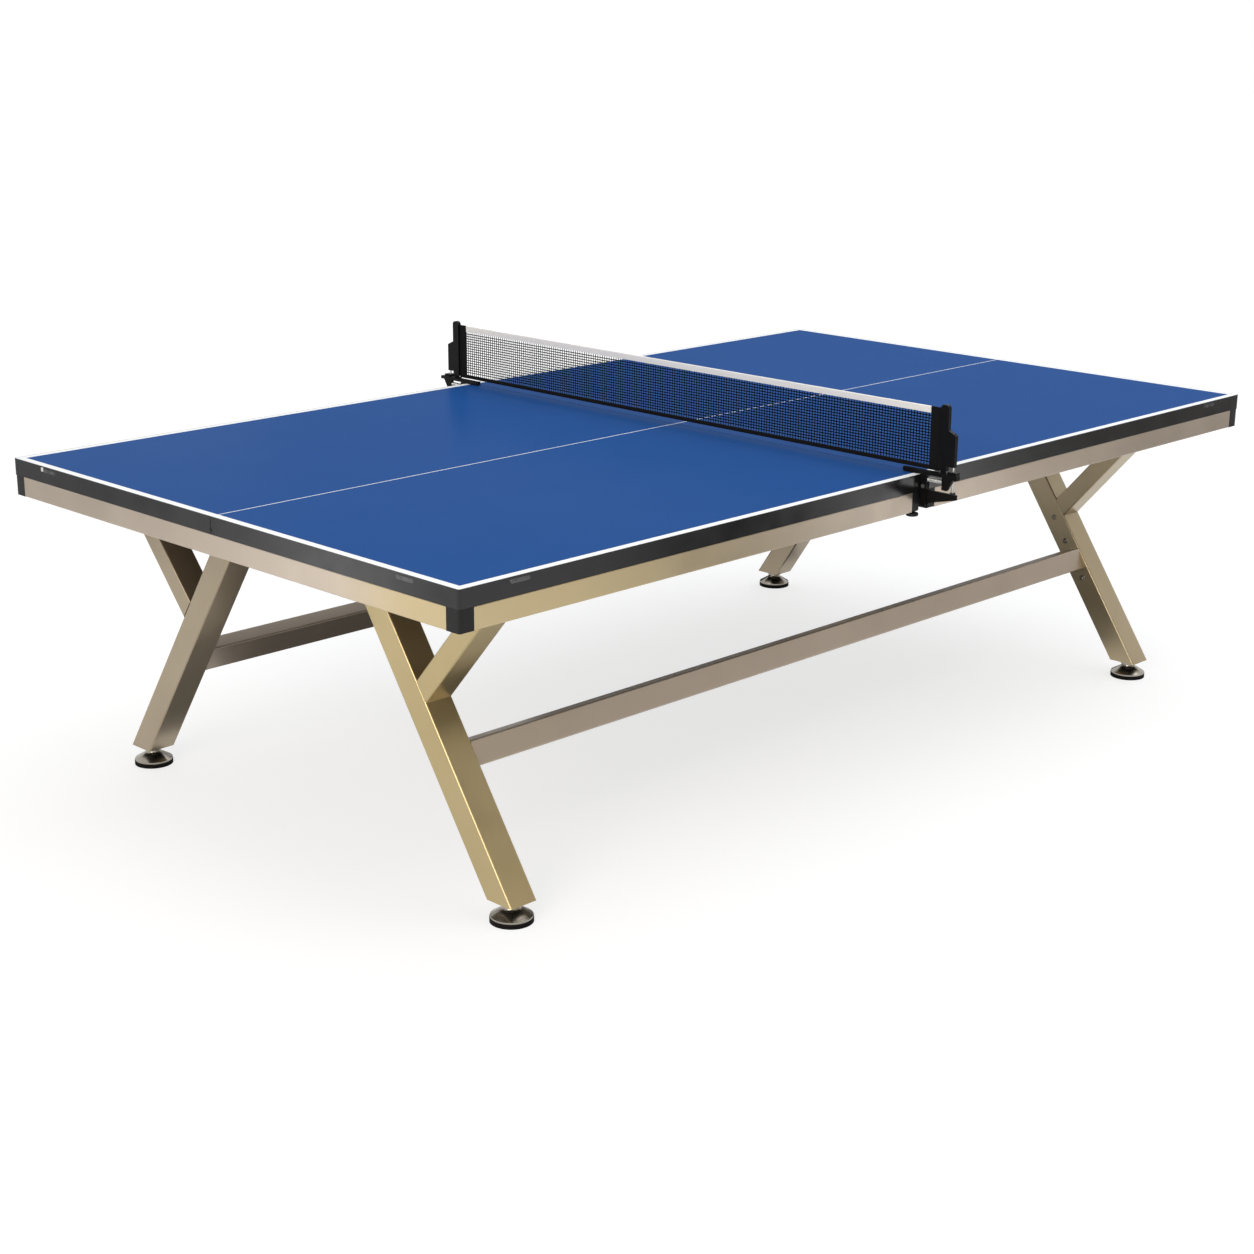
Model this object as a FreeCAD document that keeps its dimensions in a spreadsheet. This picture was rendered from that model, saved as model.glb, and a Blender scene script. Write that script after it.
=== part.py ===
"""Table tennis table on splayed Y legs, with a clamp-on net set.

Frame: X runs along the table, Y across it, Z up.  The origin is on the floor under the middle of
the net, so the net hangs in the plane X = 0.  "near" is the half at -X and "far" the half at +X;
"right" is the side at -Y and "left" the side at +Y.  All lengths are in millimetres.
"""
import FreeCAD, Part
import os
import Sketcher
from FreeCAD import Placement, Rotation, Vector

doc = FreeCAD.newDocument("ping_pong_table")
sheet = doc.addObject("Spreadsheet::Sheet", "sizes")

# ---------------------------------------------------------------------------------------------
# Driving dimensions: alias, value in millimetres or degrees, meaning
# ---------------------------------------------------------------------------------------------
SIZES = (
    ("table_length", 2740, "playing surface, over both end aprons"),
    ("table_width", 1525, "playing surface, over both side aprons"),
    ("playing_height", 760, "top of the boards above the floor"),
    ("board_thickness", 25, "each half board"),
    ("board_seam", 3, "gap between the two half boards under the net"),
    ("apron_height", 38, "painted steel apron, from the playing surface down"),
    ("apron_wall", 2, "sheet of the apron"),
    ("apron_depth", 26, "width of the apron's box under the board"),
    ("apron_radius", 6, "bend of the apron round each corner"),
    ("apron_seam", 1.5, "gap between the two aprons that meet at each end"),
    ("rail_height", 46, "rails of the frame, under the aprons"),
    ("rail_width", 30, "rails, across"),
    ("rail_wall", 2, "rail tube"),
    ("rail_inset", 1, "rail face behind the apron face"),
    ("rail_radius", 2, "long edges of the rail tubes"),
    ("cap_arm", 36, "each face of a moulded corner cap"),
    ("cap_radius", 6, "outer upright edge of a corner cap"),
    ("spigot_length", 25, "caps and plugs inside the rail tubes"),
    ("spigot_gap", 0.25, "play round a spigot"),
    ("net_gap", 34, "open space between the frames of the two halves"),
    ("end_cap_length", 24, "plug at each rail end beside the net"),
    ("end_cap_radius", 5, "lower edges of those plugs"),
    ("leg_inset", 237, "middle of the leg beam and legs, from the end apron"),
    ("beam_wall", 3, "leg beam tube"),
    ("beam_radius", 4, "long edges of the leg beam"),
    ("leg_depth", 70, "legs, braces and leg beams, along the table"),
    ("leg_width", 62, "leg tube, square to its length"),
    ("leg_wall", 3, "leg tube"),
    ("leg_radius", 4, "long edges of legs and braces"),
    ("leg_lean", 34, "degrees from upright"),
    ("foot_reach", 634, "middle of each foot from the middle of the table"),
    ("foot_height", 45, "foot from the floor to the end of the leg"),
    ("brace_width", 48.5, "brace tube, square to its length"),
    ("brace_lean", 41, "degrees from upright"),
    ("brace_reach", 617, "middle of the brace's top from the middle of the table"),
    ("stretcher_height", 55, "stretcher tube"),
    ("stretcher_width", 48, "stretcher tube, across"),
    ("stretcher_wall", 2, "stretcher tube"),
    ("stretcher_radius", 3, "long edges of the stretcher tube"),
    ("stretcher_tilt", 15.5, "degrees, outer edge up"),
    ("stretcher_level", 300, "middle of the stretcher above the floor"),
    ("bolt_shank", 8, "leg bolt"),
    ("bolt_head", 12, "leg bolt head"),
    ("bolt_head_height", 4, "leg bolt head"),
    ("bolt_grip", 12, "leg bolt, length behind the head"),
    ("bolt_play", 0.3, "hole round a bolt, radial"),
    ("stretcher_bolt_step", 46, "bolts above and below the middle of the stretcher"),
    ("brace_bolt_step", 105, "bolt of the brace above the middle of the stretcher"),
    ("pad_diameter", 90, "rubber under the foot"),
    ("pad_thickness", 10, "rubber under the foot"),
    ("pad_groove", 1.5, "groove round the rubber"),
    ("bell_diameter", 88, "steel bell of the foot"),
    ("bell_rim", 4, "straight rim of the bell"),
    ("bell_rise", 20, "top of the bell's cone above the rubber"),
    ("bell_flare", 10, "hollow curve between cone and neck"),
    ("neck_diameter", 34, "neck of the bell"),
    ("collar_diameter", 42, "collar on top of the neck"),
    ("collar_height", 7.5, "collar on top of the neck"),
    ("stud_diameter", 12, "threaded stud"),
    ("stud_length", 38, "threaded stud above the collar"),
    ("thread_play", 0.05, "screws and pins in their holes, radial"),
    ("end_plate", 6, "threaded plate in the end of each leg"),
    ("end_plate_gap", 0.1, "plate to the leg walls"),
    ("seat_gap", 0.3, "between parts that come to rest against each other"),
    ("knob_diameter", 28, "hand screw under each near rail end"),
    ("knob_inset", 8, "middle of the hand screw behind the face of the rail"),
    ("knob_thickness", 7, "hand screw"),
    ("knob_gap", 2.5, "bare stem between hand screw and rail end"),
    ("knob_stem", 8, "hand screw stem"),
    ("knob_stem_length", 22, "hand screw stem inside the plug"),
    ("clip_length", 50, "spring clips on the aprons"),
    ("clip_height", 9, "spring clips on the aprons"),
    ("clip_thickness", 1.5, "spring clips, proud of the apron"),
    ("clip_drop", 9, "middle of the clip below the playing surface"),
    ("clip_inset", 150, "middle of the clip from the corner"),
    ("seam_screw_diameter", 9, "screw head under each end seam"),
    ("seam_screw_height", 1.2, "screw head under each end seam"),
    ("seam_screw_rise", 10, "screw head above the lower edge of the apron"),
    ("net_height", 152.5, "top of the net above the boards"),
    ("net_lift", 11, "lower edge of the net above the boards"),
    ("net_thickness", 2, "net fabric"),
    ("tape_height", 15, "white tape"),
    ("tape_thickness", 4, "white tape, folded over the net"),
    ("sleeve_width", 28, "fabric sleeve at each end of the net"),
    ("post_start", 38, "inner face of a net post beyond the apron"),
    ("post_width", 22, "net post, across the table"),
    ("post_thickness", 10, "net post, along the table"),
    ("post_rise", 8.5, "net post above the net"),
    ("post_radius", 9, "rounded top of the post"),
    ("post_lift", 14, "lower end of the post above the boards"),
    ("lug_width", 21, "lug on the outer side of the post"),
    ("lug_bottom", 25, "lower end of the lug above the boards"),
    ("lug_top", 106, "upper end of the lug above the boards"),
    ("lug_slope", 10, "height of the lug's sloping shoulder"),
    ("guide_thickness", 5, "guide inside the post, along the table"),
    ("guide_width", 12, "guide inside the post, across the table"),
    ("guide_height", 100, "top of the guide above the boards"),
    ("guide_play", 0.3, "guide in the post"),
    ("bore_top", 112, "end of the post's bore above the boards"),
    ("arm_inboard", 52, "clamp arm over the board"),
    ("arm_outboard", 98, "clamp arm beyond the apron"),
    ("arm_width", 12, "clamp arm, along the table"),
    ("arm_thickness", 8, "clamp arm"),
    ("arm_offset", 5, "clamp arm from the plane of the net"),
    ("arm_tip_radius", 5, "rounded tip of the clamp arm"),
    ("jaw_pad", 2, "rubber between clamp arm and board"),
    ("jaw_pad_length", 36, "rubber between clamp arm and board"),
    ("web_gap", 1, "clamp web to the apron"),
    ("web_depth", 16, "clamp web"),
    ("web_drop", 70, "lower end of the clamp web below the boards"),
    ("web_radius", 5, "corners of the clamp web"),
    ("lever_thickness", 6, "clamp lever"),
    ("lever_play", 0.5, "clamp lever between the cheeks, each side"),
    ("pivot_out", 9, "clamp pivot beyond the apron"),
    ("pivot_drop", 25, "clamp pivot below the boards"),
    ("pivot_boss", 7.5, "radius of the lever round its pivot"),
    ("pin_diameter", 5, "clamp pin"),
    ("pin_head", 9, "clamp pin head"),
    ("pin_head_height", 1.5, "clamp pin head"),
    ("strut_top_in", 57, "clamp strut at the arm, inner edge"),
    ("strut_top_out", 88, "clamp strut at the arm, outer edge"),
    ("strut_foot_in", 57, "clamp strut foot, inner edge"),
    ("strut_foot_out", 70, "clamp strut foot, outer edge"),
    ("strut_drop", 27, "clamp strut foot below the boards"),
    ("strut_thickness", 8, "clamp strut, along the table"),
    ("jaw_inboard", 38, "lower jaw under the apron"),
    ("jaw_thickness", 8, "lower jaw"),
    ("handle_out", 96, "end of the lever handle beyond the apron"),
    ("handle_top", 33, "upper edge of the handle below the boards"),
    ("handle_tip", 11, "height of the handle at its end"),
    ("handle_bottom", 64, "lowest point of the handle below the boards"),
    ("handle_heel", 14, "lowest point of the handle beyond the apron"),
    ("spring_diameter", 10.4, "clamp spring"),
    ("spring_length", 40, "clamp spring"),
    ("spring_drop", 9, "middle of the clamp spring below the boards"),
    ("screw_out", 77, "height screw beyond the apron"),
    ("screw_diameter", 5, "height screw"),
    ("screw_top", 78, "top of the height screw above the boards"),
    ("screw_bottom", 48, "lower end of the height screw below the boards"),
    ("boss_start", 68, "boss of the height screw, inner face beyond the apron"),
    ("boss_end", 90, "boss of the height screw, outer face beyond the apron"),
    ("boss_width", 20, "boss of the height screw, along the table"),
    ("boss_rise", 5, "boss above and below the arm"),
    ("boss_radius", 6, "upright outer edges of the boss"),
    ("height_knob_diameter", 13, "knob of the height screw"),
    ("height_knob_height", 14, "knob of the height screw"),
    ("height_knob_drop", 46, "lower end of that knob below the boards"),
    ("height_knob_ribs", 12, "grip ribs round that knob, a count"),
    ("height_knob_rib", 1.6, "diameter of a grip groove"),
)

for row, (alias, value, meaning) in enumerate(SIZES, start=1):
    sheet.set("A%d" % row, meaning)
    sheet.set("B%d" % row, str(value))
    sheet.setAlias("B%d" % row, alias)
doc.recompute()

HALVES = (("near", -1), ("far", 1))
SIDES = (("left", 1), ("right", -1))
CORNERS = [(half, sx, side, sy) for half, sx in HALVES for side, sy in SIDES]

# Lengths that follow from the driving dimensions, written once as formulas on the sheet.
HALF_LENGTH = "sizes.table_length / 2"
HALF_WIDTH = "sizes.table_width / 2"
BEAM_X = "(%s - sizes.leg_inset)" % HALF_LENGTH
APRON_BOTTOM = "(sizes.playing_height - sizes.apron_height)"
RAIL_BOTTOM = "(%s - sizes.rail_height)" % APRON_BOTTOM
BOARD_BOTTOM = "(sizes.playing_height - sizes.board_thickness)"
BOX_HEIGHT = "(sizes.apron_height - sizes.board_thickness)"
IN_WALL = "((sizes.apron_wall + sizes.apron_radius * (1 - 1 / sqrt(2))) / 2)"
BEAM_HEIGHT = "(%s - %s)" % (BOARD_BOTTOM, RAIL_BOTTOM)
RAIL_FACE_X = "(%s - sizes.rail_inset)" % HALF_LENGTH
RAIL_FACE_Y = "(%s - sizes.rail_inset)" % HALF_WIDTH
RAIL_MIDDLE_Y = "(%s - sizes.rail_width / 2)" % RAIL_FACE_Y
RAIL_START = "(sizes.net_gap / 2 + sizes.end_cap_length)"
KNOB_X = "-(sizes.net_gap / 2 + sizes.end_cap_length / 2)"
KNOB_Y = "(%s - sizes.knob_inset)" % RAIL_FACE_Y
CROSS_LENGTH = "(2 * (%s - sizes.rail_width))" % RAIL_FACE_Y
LEG_TAN = "tan(sizes.leg_lean * 1deg)"
LEG_ACROSS = "(sizes.leg_width / cos(sizes.leg_lean * 1deg))"
LEG_WALL_ACROSS = "(sizes.leg_wall / cos(sizes.leg_lean * 1deg))"
BRACE_TAN = "tan(sizes.brace_lean * 1deg)"
BRACE_ACROSS = "(sizes.brace_width / cos(sizes.brace_lean * 1deg))"
BRACE_WALL_ACROSS = "(sizes.leg_wall / cos(sizes.brace_lean * 1deg))"
LEG_OUTER_FOOT = "(sizes.foot_reach + %s / 2)" % LEG_ACROSS
ARM_MIDDLE_X = "(-(sizes.arm_offset + sizes.arm_width / 2))"
ARM_BOTTOM = "(sizes.playing_height + sizes.jaw_pad)"
ARM_TOP = "(%s + sizes.arm_thickness)" % ARM_BOTTOM
THREAD_HOLE = "(sizes.stud_diameter / 2 + sizes.thread_play)"
PIN_HOLE = "(sizes.pin_diameter / 2 + sizes.thread_play)"
SCREW_HOLE = "(sizes.screw_diameter / 2 + sizes.thread_play)"


def value_of(formula):
    """The present value of a formula on the sheet."""
    result = sheet.evalExpression(local(formula))
    return float(getattr(result, "Value", result))


def local(formula):
    """The same formula as the sheet itself would write it, without the sheet's name."""
    return formula.replace("sizes.", "")


# ---------------------------------------------------------------------------------------------
# Modelling helpers
# ---------------------------------------------------------------------------------------------
def new_body(label, x="0", y="0", z="0", many=False):
    """A sub-part, set at a place given by three formulas."""
    body = doc.addObject("PartDesign::Body", label)
    body.Label = label
    body.AllowCompound = many
    for axis, formula in (("x", x), ("y", y), ("z", z)):
        if formula != "0":
            body.setExpression("Placement.Base." + axis, formula)
    return body


def new_sketch(body, plane, name, offset="0"):
    """An empty sketch on one of the body's own origin planes, moved along its normal."""
    sketch = body.newObject("Sketcher::SketchObject", name)
    support = [item for item in body.Origin.OriginFeatures if item.Role == plane][0]
    sketch.AttachmentSupport = (support, [""])
    sketch.MapMode = "FlatFace"
    if offset != "0":
        sketch.setExpression("AttachmentOffset.Base.z", offset)
    return sketch


def hold(sketch, geometry, point, across, up):
    """Hold one point of a sketch at two formulas, measured from the sketch's origin."""
    for kind, formula, axis in (("DistanceX", across, -2), ("DistanceY", up, -1)):
        if formula == "0":
            sketch.addConstraint(Sketcher.Constraint("PointOnObject", geometry, point, axis))
            continue
        distance = Sketcher.Constraint(kind, -1, 1, geometry, point, value_of(formula))
        index = sketch.addConstraint(distance)
        sketch.setExpression("Constraints[%d]" % index, formula)


def add_outline(sketch, corners):
    """A closed outline of straight edges through corners given as pairs of formulas."""
    points = [Vector(value_of(across), value_of(up), 0) for across, up in corners]
    first = sketch.GeometryCount
    count = len(points)
    for i in range(count):
        sketch.addGeometry(Part.LineSegment(points[i], points[(i + 1) % count]), False)
    for i in range(count):
        following = first + (i + 1) % count
        sketch.addConstraint(Sketcher.Constraint("Coincident", first + i, 2, following, 1))
    for i, (across, up) in enumerate(corners):
        hold(sketch, first + i, 1, across, up)


def add_rectangle(sketch, across_a, across_b, up_a, up_b):
    """A rectangle between two formulas each way."""
    add_outline(sketch, [(across_a, up_a), (across_b, up_a), (across_b, up_b), (across_a, up_b)])


def add_circle(sketch, across, up, radius):
    """A circle with its centre and radius held by formulas."""
    centre = Vector(value_of(across), value_of(up), 0)
    index = sketch.addGeometry(Part.Circle(centre, Vector(0, 0, 1), value_of(radius)), False)
    hold(sketch, index, 3, across, up)
    size = sketch.addConstraint(Sketcher.Constraint("Radius", index, value_of(radius)))
    sketch.setExpression("Constraints[%d]" % size, radius)


def pad(body, sketch, length, symmetric=False, back=False):
    """Raise a sketch into a solid."""
    feature = body.newObject("PartDesign::Pad", sketch.Name + "_pad")
    feature.Profile = sketch
    feature.setExpression("Length", length)
    feature.SideType = "Symmetric" if symmetric else "One side"
    feature.Reversed = back
    return feature


def pocket(body, sketch, length, symmetric=False, back=False):
    """Cut a sketch out of the solid, and make sure that it cuts."""
    doc.recompute()
    before = body.Shape.Volume
    feature = body.newObject("PartDesign::Pocket", sketch.Name + "_cut")
    feature.Profile = sketch
    feature.setExpression("Length", length)
    feature.SideType = "Symmetric" if symmetric else "One side"
    feature.Reversed = back
    doc.recompute()
    if body.Shape.Volume >= before:
        raise RuntimeError("pocket %s cuts nothing" % feature.Name)
    return feature


def fillet(body, radius, wanted):
    """Round every edge of the body for which wanted(edge) holds."""
    doc.recompute()
    base = body.Tip
    names = ["Edge%d" % i for i, edge in enumerate(base.Shape.Edges, start=1) if wanted(edge)]
    if not names:
        raise RuntimeError("no edge to round on " + body.Label)
    feature = body.newObject("PartDesign::Fillet", body.Name + "_round")
    feature.Base = (base, names)
    feature.setExpression("Radius", radius)
    return feature


def along(direction, limit=None):
    """Picks straight edges parallel to a direction, that also pass a test on their middle."""
    def wanted(edge):
        if edge.Curve.TypeId != "Part::GeomLine":
            return False
        if edge.tangentAt(edge.FirstParameter).cross(direction).Length > 1e-6:
            return False
        return limit is None or limit(edge.CenterOfMass)
    return wanted


def box_tube(label, plane, size, wall, radius, length, place, tilt=None):
    """A rectangular tube with rounded long edges, middle on its body's origin."""
    body = new_body(label, *place)
    if tilt:
        body.Placement = Placement(body.Placement.Base, Rotation(Vector(1, 0, 0), 1))
        body.setExpression("Placement.Rotation.Angle", tilt)
    across, up = size
    outside = new_sketch(body, plane, label + "_outside")
    add_rectangle(outside, "-%s / 2" % across, "%s / 2" % across, "-%s / 2" % up, "%s / 2" % up)
    pad(body, outside, length, symmetric=True)
    run = Vector(1, 0, 0) if plane == "YZ_Plane" else Vector(0, 1, 0)
    fillet(body, radius, along(run))
    inside = new_sketch(body, plane, label + "_inside")
    half_across = "(%s / 2 - %s)" % (across, wall)
    half_up = "(%s / 2 - %s)" % (up, wall)
    add_rectangle(inside, "-" + half_across, half_across, "-" + half_up, half_up)
    pocket(body, inside, length + " + 2", symmetric=True)
    return body


def out(sy, distance):
    """Y of a point a distance beyond the apron on one side."""
    return "%d * (%s + %s)" % (sy, HALF_WIDTH, distance)


def below(drop):
    """Z of a point below the playing surface."""
    return "sizes.playing_height - %s" % drop


def above(rise):
    """Z of a point above the playing surface."""
    return "sizes.playing_height + %s" % rise


# ---------------------------------------------------------------------------------------------
# Boards and aprons
# ---------------------------------------------------------------------------------------------
def make_board(half, sx):
    """One half board: it drops into the aprons and stops short of its twin by the seam."""
    body = new_body("board_" + half, z=BOARD_BOTTOM)
    outline = new_sketch(body, "XY_Plane", body.Name + "_outline")
    edge_x = "%d * (%s - sizes.apron_wall)" % (sx, HALF_LENGTH)
    edge_y = "(%s - sizes.apron_wall)" % HALF_WIDTH
    add_rectangle(outline, "%d * sizes.board_seam / 2" % sx, edge_x, "-" + edge_y, edge_y)
    pad(body, outline, "sizes.board_thickness")
    middle = value_of(HALF_LENGTH) / 2
    fillet(body, "sizes.apron_radius - sizes.apron_wall",
           along(Vector(0, 0, 1), lambda point: abs(point.x) > middle))
    return body


def corner_strip(sketch, sx, sy, outer, inner):
    """An L in plan that follows one corner of the table, between two depths behind the face."""
    outer_x = "%d * (%s - %s)" % (sx, HALF_LENGTH, outer)
    inner_x = "%d * (%s - %s)" % (sx, HALF_LENGTH, inner)
    outer_y = "%d * (%s - %s)" % (sy, HALF_WIDTH, outer)
    inner_y = "%d * (%s - %s)" % (sy, HALF_WIDTH, inner)
    start_x = "%d * sizes.board_seam / 2" % sx
    start_y = "%d * sizes.apron_seam / 2" % sy
    add_outline(sketch, [(start_x, outer_y), (outer_x, outer_y), (outer_x, start_y),
                         (inner_x, start_y), (inner_x, inner_y), (start_x, inner_y)])


def make_apron(half, sx, side, sy):
    """Rolled apron round one corner: a tall face, and a closed box that the board rests on."""
    body = new_body("apron_%s_%s" % (half, side), z=APRON_BOTTOM)
    face = new_sketch(body, "XY_Plane", body.Name + "_face")
    corner_strip(face, sx, sy, "0", "sizes.apron_wall")
    pad(body, face, "sizes.apron_height")
    middle = value_of(HALF_LENGTH) / 2
    deep = value_of("sizes.apron_wall") / 2

    def on_bend(point):
        return abs(point.x) > middle and abs(point.y) > middle / 2

    def outer_bend(point):
        return on_bend(point) and abs(point.x) > value_of(HALF_LENGTH) - deep

    def inner_bend(point):
        return on_bend(point) and abs(point.x) <= value_of(HALF_LENGTH) - deep

    fillet(body, "sizes.apron_radius", along(Vector(0, 0, 1), outer_bend))
    fillet(body, "sizes.apron_radius - sizes.apron_wall", along(Vector(0, 0, 1), inner_bend))
    lip = new_sketch(body, "XY_Plane", body.Name + "_lip")
    corner_strip(lip, sx, sy, IN_WALL, "sizes.apron_depth")
    pad(body, lip, "sizes.apron_wall")
    shelf = new_sketch(body, "XY_Plane", body.Name + "_shelf", BOX_HEIGHT + " - sizes.apron_wall")
    corner_strip(shelf, sx, sy, IN_WALL, "sizes.apron_depth")
    pad(body, shelf, "sizes.apron_wall")
    back = new_sketch(body, "XY_Plane", body.Name + "_back")
    corner_strip(back, sx, sy, "sizes.apron_depth - sizes.apron_wall", "sizes.apron_depth")
    pad(body, back, BOX_HEIGHT)
    return body


def make_clips():
    """Spring clips on the apron faces, one each way from every corner."""
    body = new_body("apron_clips", z=below("sizes.clip_drop"), many=True)
    sketch = new_sketch(body, "XY_Plane", "clips_plan")
    for half, sx, side, sy in CORNERS:
        middle_x = "(%s - sizes.clip_inset)" % HALF_LENGTH
        middle_y = "(%s - sizes.clip_inset)" % HALF_WIDTH
        add_rectangle(sketch,
                      "%d * (%s - sizes.clip_length / 2)" % (sx, middle_x),
                      "%d * (%s + sizes.clip_length / 2)" % (sx, middle_x),
                      "%d * %s" % (sy, HALF_WIDTH), out(sy, "sizes.clip_thickness"))
        add_rectangle(sketch,
                      "%d * %s" % (sx, HALF_LENGTH),
                      "%d * (%s + sizes.clip_thickness)" % (sx, HALF_LENGTH),
                      "%d * (%s - sizes.clip_length / 2)" % (sy, middle_y),
                      "%d * (%s + sizes.clip_length / 2)" % (sy, middle_y))
    pad(body, sketch, "sizes.clip_height", symmetric=True)
    return body


def make_seam_screws():
    """Round screw heads that close the apron seam at each end of the table."""
    body = new_body("apron_seam_screws", z=APRON_BOTTOM + " + sizes.seam_screw_rise", many=True)
    for half, sx in HALVES:
        sketch = new_sketch(body, "YZ_Plane", "seam_screw_" + half, "%d * %s" % (sx, HALF_LENGTH))
        add_circle(sketch, "0", "0", "sizes.seam_screw_diameter / 2")
        pad(body, sketch, "sizes.seam_screw_height", back=sx < 0)
    return body


# ---------------------------------------------------------------------------------------------
# Frame of rails
# ---------------------------------------------------------------------------------------------
RAIL_SIZE = ("sizes.rail_width", "sizes.rail_height")
RAIL_LEVEL = RAIL_BOTTOM + " + sizes.rail_height / 2"
BEAM_LEVEL = RAIL_BOTTOM + " + %s / 2" % BEAM_HEIGHT


def make_side_rail(half, sx, side, sy):
    """Rail along one side of one half, from the corner cap to the plug beside the net."""
    end = "(%s - sizes.cap_arm)" % RAIL_FACE_X
    place = ("%d * (%s + %s) / 2" % (sx, end, RAIL_START), "%d * %s" % (sy, RAIL_MIDDLE_Y),
             RAIL_LEVEL)
    return box_tube("side_rail_%s_%s" % (half, side), "YZ_Plane", RAIL_SIZE, "sizes.rail_wall",
                    "sizes.rail_radius", "(%s - %s)" % (end, RAIL_START), place)


def make_end_rail(half, sx):
    """Rail across one end of the table, between two corner caps."""
    place = ("%d * (%s - sizes.rail_width / 2)" % (sx, RAIL_FACE_X), "0", RAIL_LEVEL)
    return box_tube("end_rail_" + half, "XZ_Plane", RAIL_SIZE, "sizes.rail_wall",
                    "sizes.rail_radius", "(2 * (%s - sizes.cap_arm))" % RAIL_FACE_Y, place)


def make_centre_rail(half, sx):
    """Cross rail that closes the frame of one half beside the net and carries the board."""
    place = ("%d * (sizes.net_gap / 2 + sizes.rail_width / 2)" % sx, "0", BEAM_LEVEL)
    return box_tube("centre_rail_" + half, "XZ_Plane", ("sizes.rail_width", BEAM_HEIGHT),
                    "sizes.rail_wall", "sizes.rail_radius", CROSS_LENGTH, place)


def make_leg_beam(half, sx):
    """Wide cross beam that carries the board and the two legs of one end."""
    place = ("%d * %s" % (sx, BEAM_X), "0", BEAM_LEVEL)
    return box_tube("leg_beam_" + half, "XZ_Plane", ("sizes.leg_depth", BEAM_HEIGHT),
                    "sizes.beam_wall", "sizes.beam_radius", CROSS_LENGTH, place)


def rail_depths(wall):
    """Depths behind the rail face of the two walls of a rail, less an allowance."""
    return "(sizes.rail_inset + %s)" % wall, "(sizes.rail_inset + sizes.rail_width - %s)" % wall


def make_corner_cap(half, sx, side, sy):
    """Moulded corner: an L the height of the rails, with a spigot into each rail tube."""
    body = new_body("corner_cap_%s_%s" % (half, side), z=RAIL_BOTTOM)
    plan = new_sketch(body, "XY_Plane", body.Name + "_plan")
    face_x = "%d * %s" % (sx, RAIL_FACE_X)
    face_y = "%d * %s" % (sy, RAIL_FACE_Y)
    arm_x = "%d * (%s - sizes.cap_arm)" % (sx, RAIL_FACE_X)
    arm_y = "%d * (%s - sizes.cap_arm)" % (sy, RAIL_FACE_Y)
    inner_x = "%d * (%s - sizes.rail_width)" % (sx, RAIL_FACE_X)
    inner_y = "%d * (%s - sizes.rail_width)" % (sy, RAIL_FACE_Y)
    add_outline(plan, [(face_x, face_y), (arm_x, face_y), (arm_x, inner_y), (inner_x, inner_y),
                       (inner_x, arm_y), (face_x, arm_y)])
    pad(body, plan, "sizes.rail_height")
    corner = value_of(RAIL_FACE_X) - value_of("sizes.rail_width") / 2
    side_face = value_of(RAIL_FACE_Y) - value_of("sizes.rail_width") / 2

    def outer_edge(point):
        return abs(point.x) > corner and abs(point.y) > side_face

    fillet(body, "sizes.cap_radius", along(Vector(0, 0, 1), outer_edge))
    inset = "(sizes.rail_wall + sizes.spigot_gap)"
    near_face, far_face = rail_depths(inset)
    spigots = new_sketch(body, "XY_Plane", body.Name + "_spigots", inset)
    add_rectangle(spigots, arm_x, arm_x + " - %d * sizes.spigot_length" % sx,
                  "%d * (%s - %s)" % (sy, HALF_WIDTH, near_face),
                  "%d * (%s - %s)" % (sy, HALF_WIDTH, far_face))
    add_rectangle(spigots, "%d * (%s - %s)" % (sx, HALF_LENGTH, near_face),
                  "%d * (%s - %s)" % (sx, HALF_LENGTH, far_face),
                  arm_y, arm_y + " - %d * sizes.spigot_length" % sy)
    pad(body, spigots, "sizes.rail_height - 2 * %s" % inset)
    return body


def make_rail_end_caps():
    """Plugs that close the four rail ends beside the net; the near two take a hand screw."""
    body = new_body("rail_end_caps", z=RAIL_BOTTOM, many=True)
    plan = new_sketch(body, "XY_Plane", "end_caps_plan")
    for half, sx, side, sy in CORNERS:
        add_rectangle(plan, "%d * sizes.net_gap / 2" % sx, "%d * %s" % (sx, RAIL_START),
                      "%d * %s" % (sy, RAIL_FACE_Y),
                      "%d * (%s - sizes.rail_width)" % (sy, RAIL_FACE_Y))
    pad(body, plan, "sizes.rail_height")
    fillet(body, "sizes.end_cap_radius",
           along(Vector(1, 0, 0), lambda point: point.z < value_of("sizes.end_cap_radius")))
    inset = "(sizes.rail_wall + sizes.spigot_gap)"
    near_face, far_face = rail_depths(inset)
    spigots = new_sketch(body, "XY_Plane", "end_caps_spigots", inset)
    for half, sx, side, sy in CORNERS:
        add_rectangle(spigots, "%d * %s" % (sx, RAIL_START),
                      "%d * (%s + sizes.spigot_length)" % (sx, RAIL_START),
                      "%d * (%s - %s)" % (sy, HALF_WIDTH, near_face),
                      "%d * (%s - %s)" % (sy, HALF_WIDTH, far_face))
    pad(body, spigots, "sizes.rail_height - 2 * %s" % inset)
    holes = new_sketch(body, "XY_Plane", "end_caps_holes")
    for side, sy in SIDES:
        add_circle(holes, KNOB_X, "%d * %s" % (sy, KNOB_Y),
                   "sizes.knob_stem / 2 + sizes.thread_play")
    pocket(body, holes, "sizes.knob_stem_length + 1", back=True)
    return body


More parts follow.
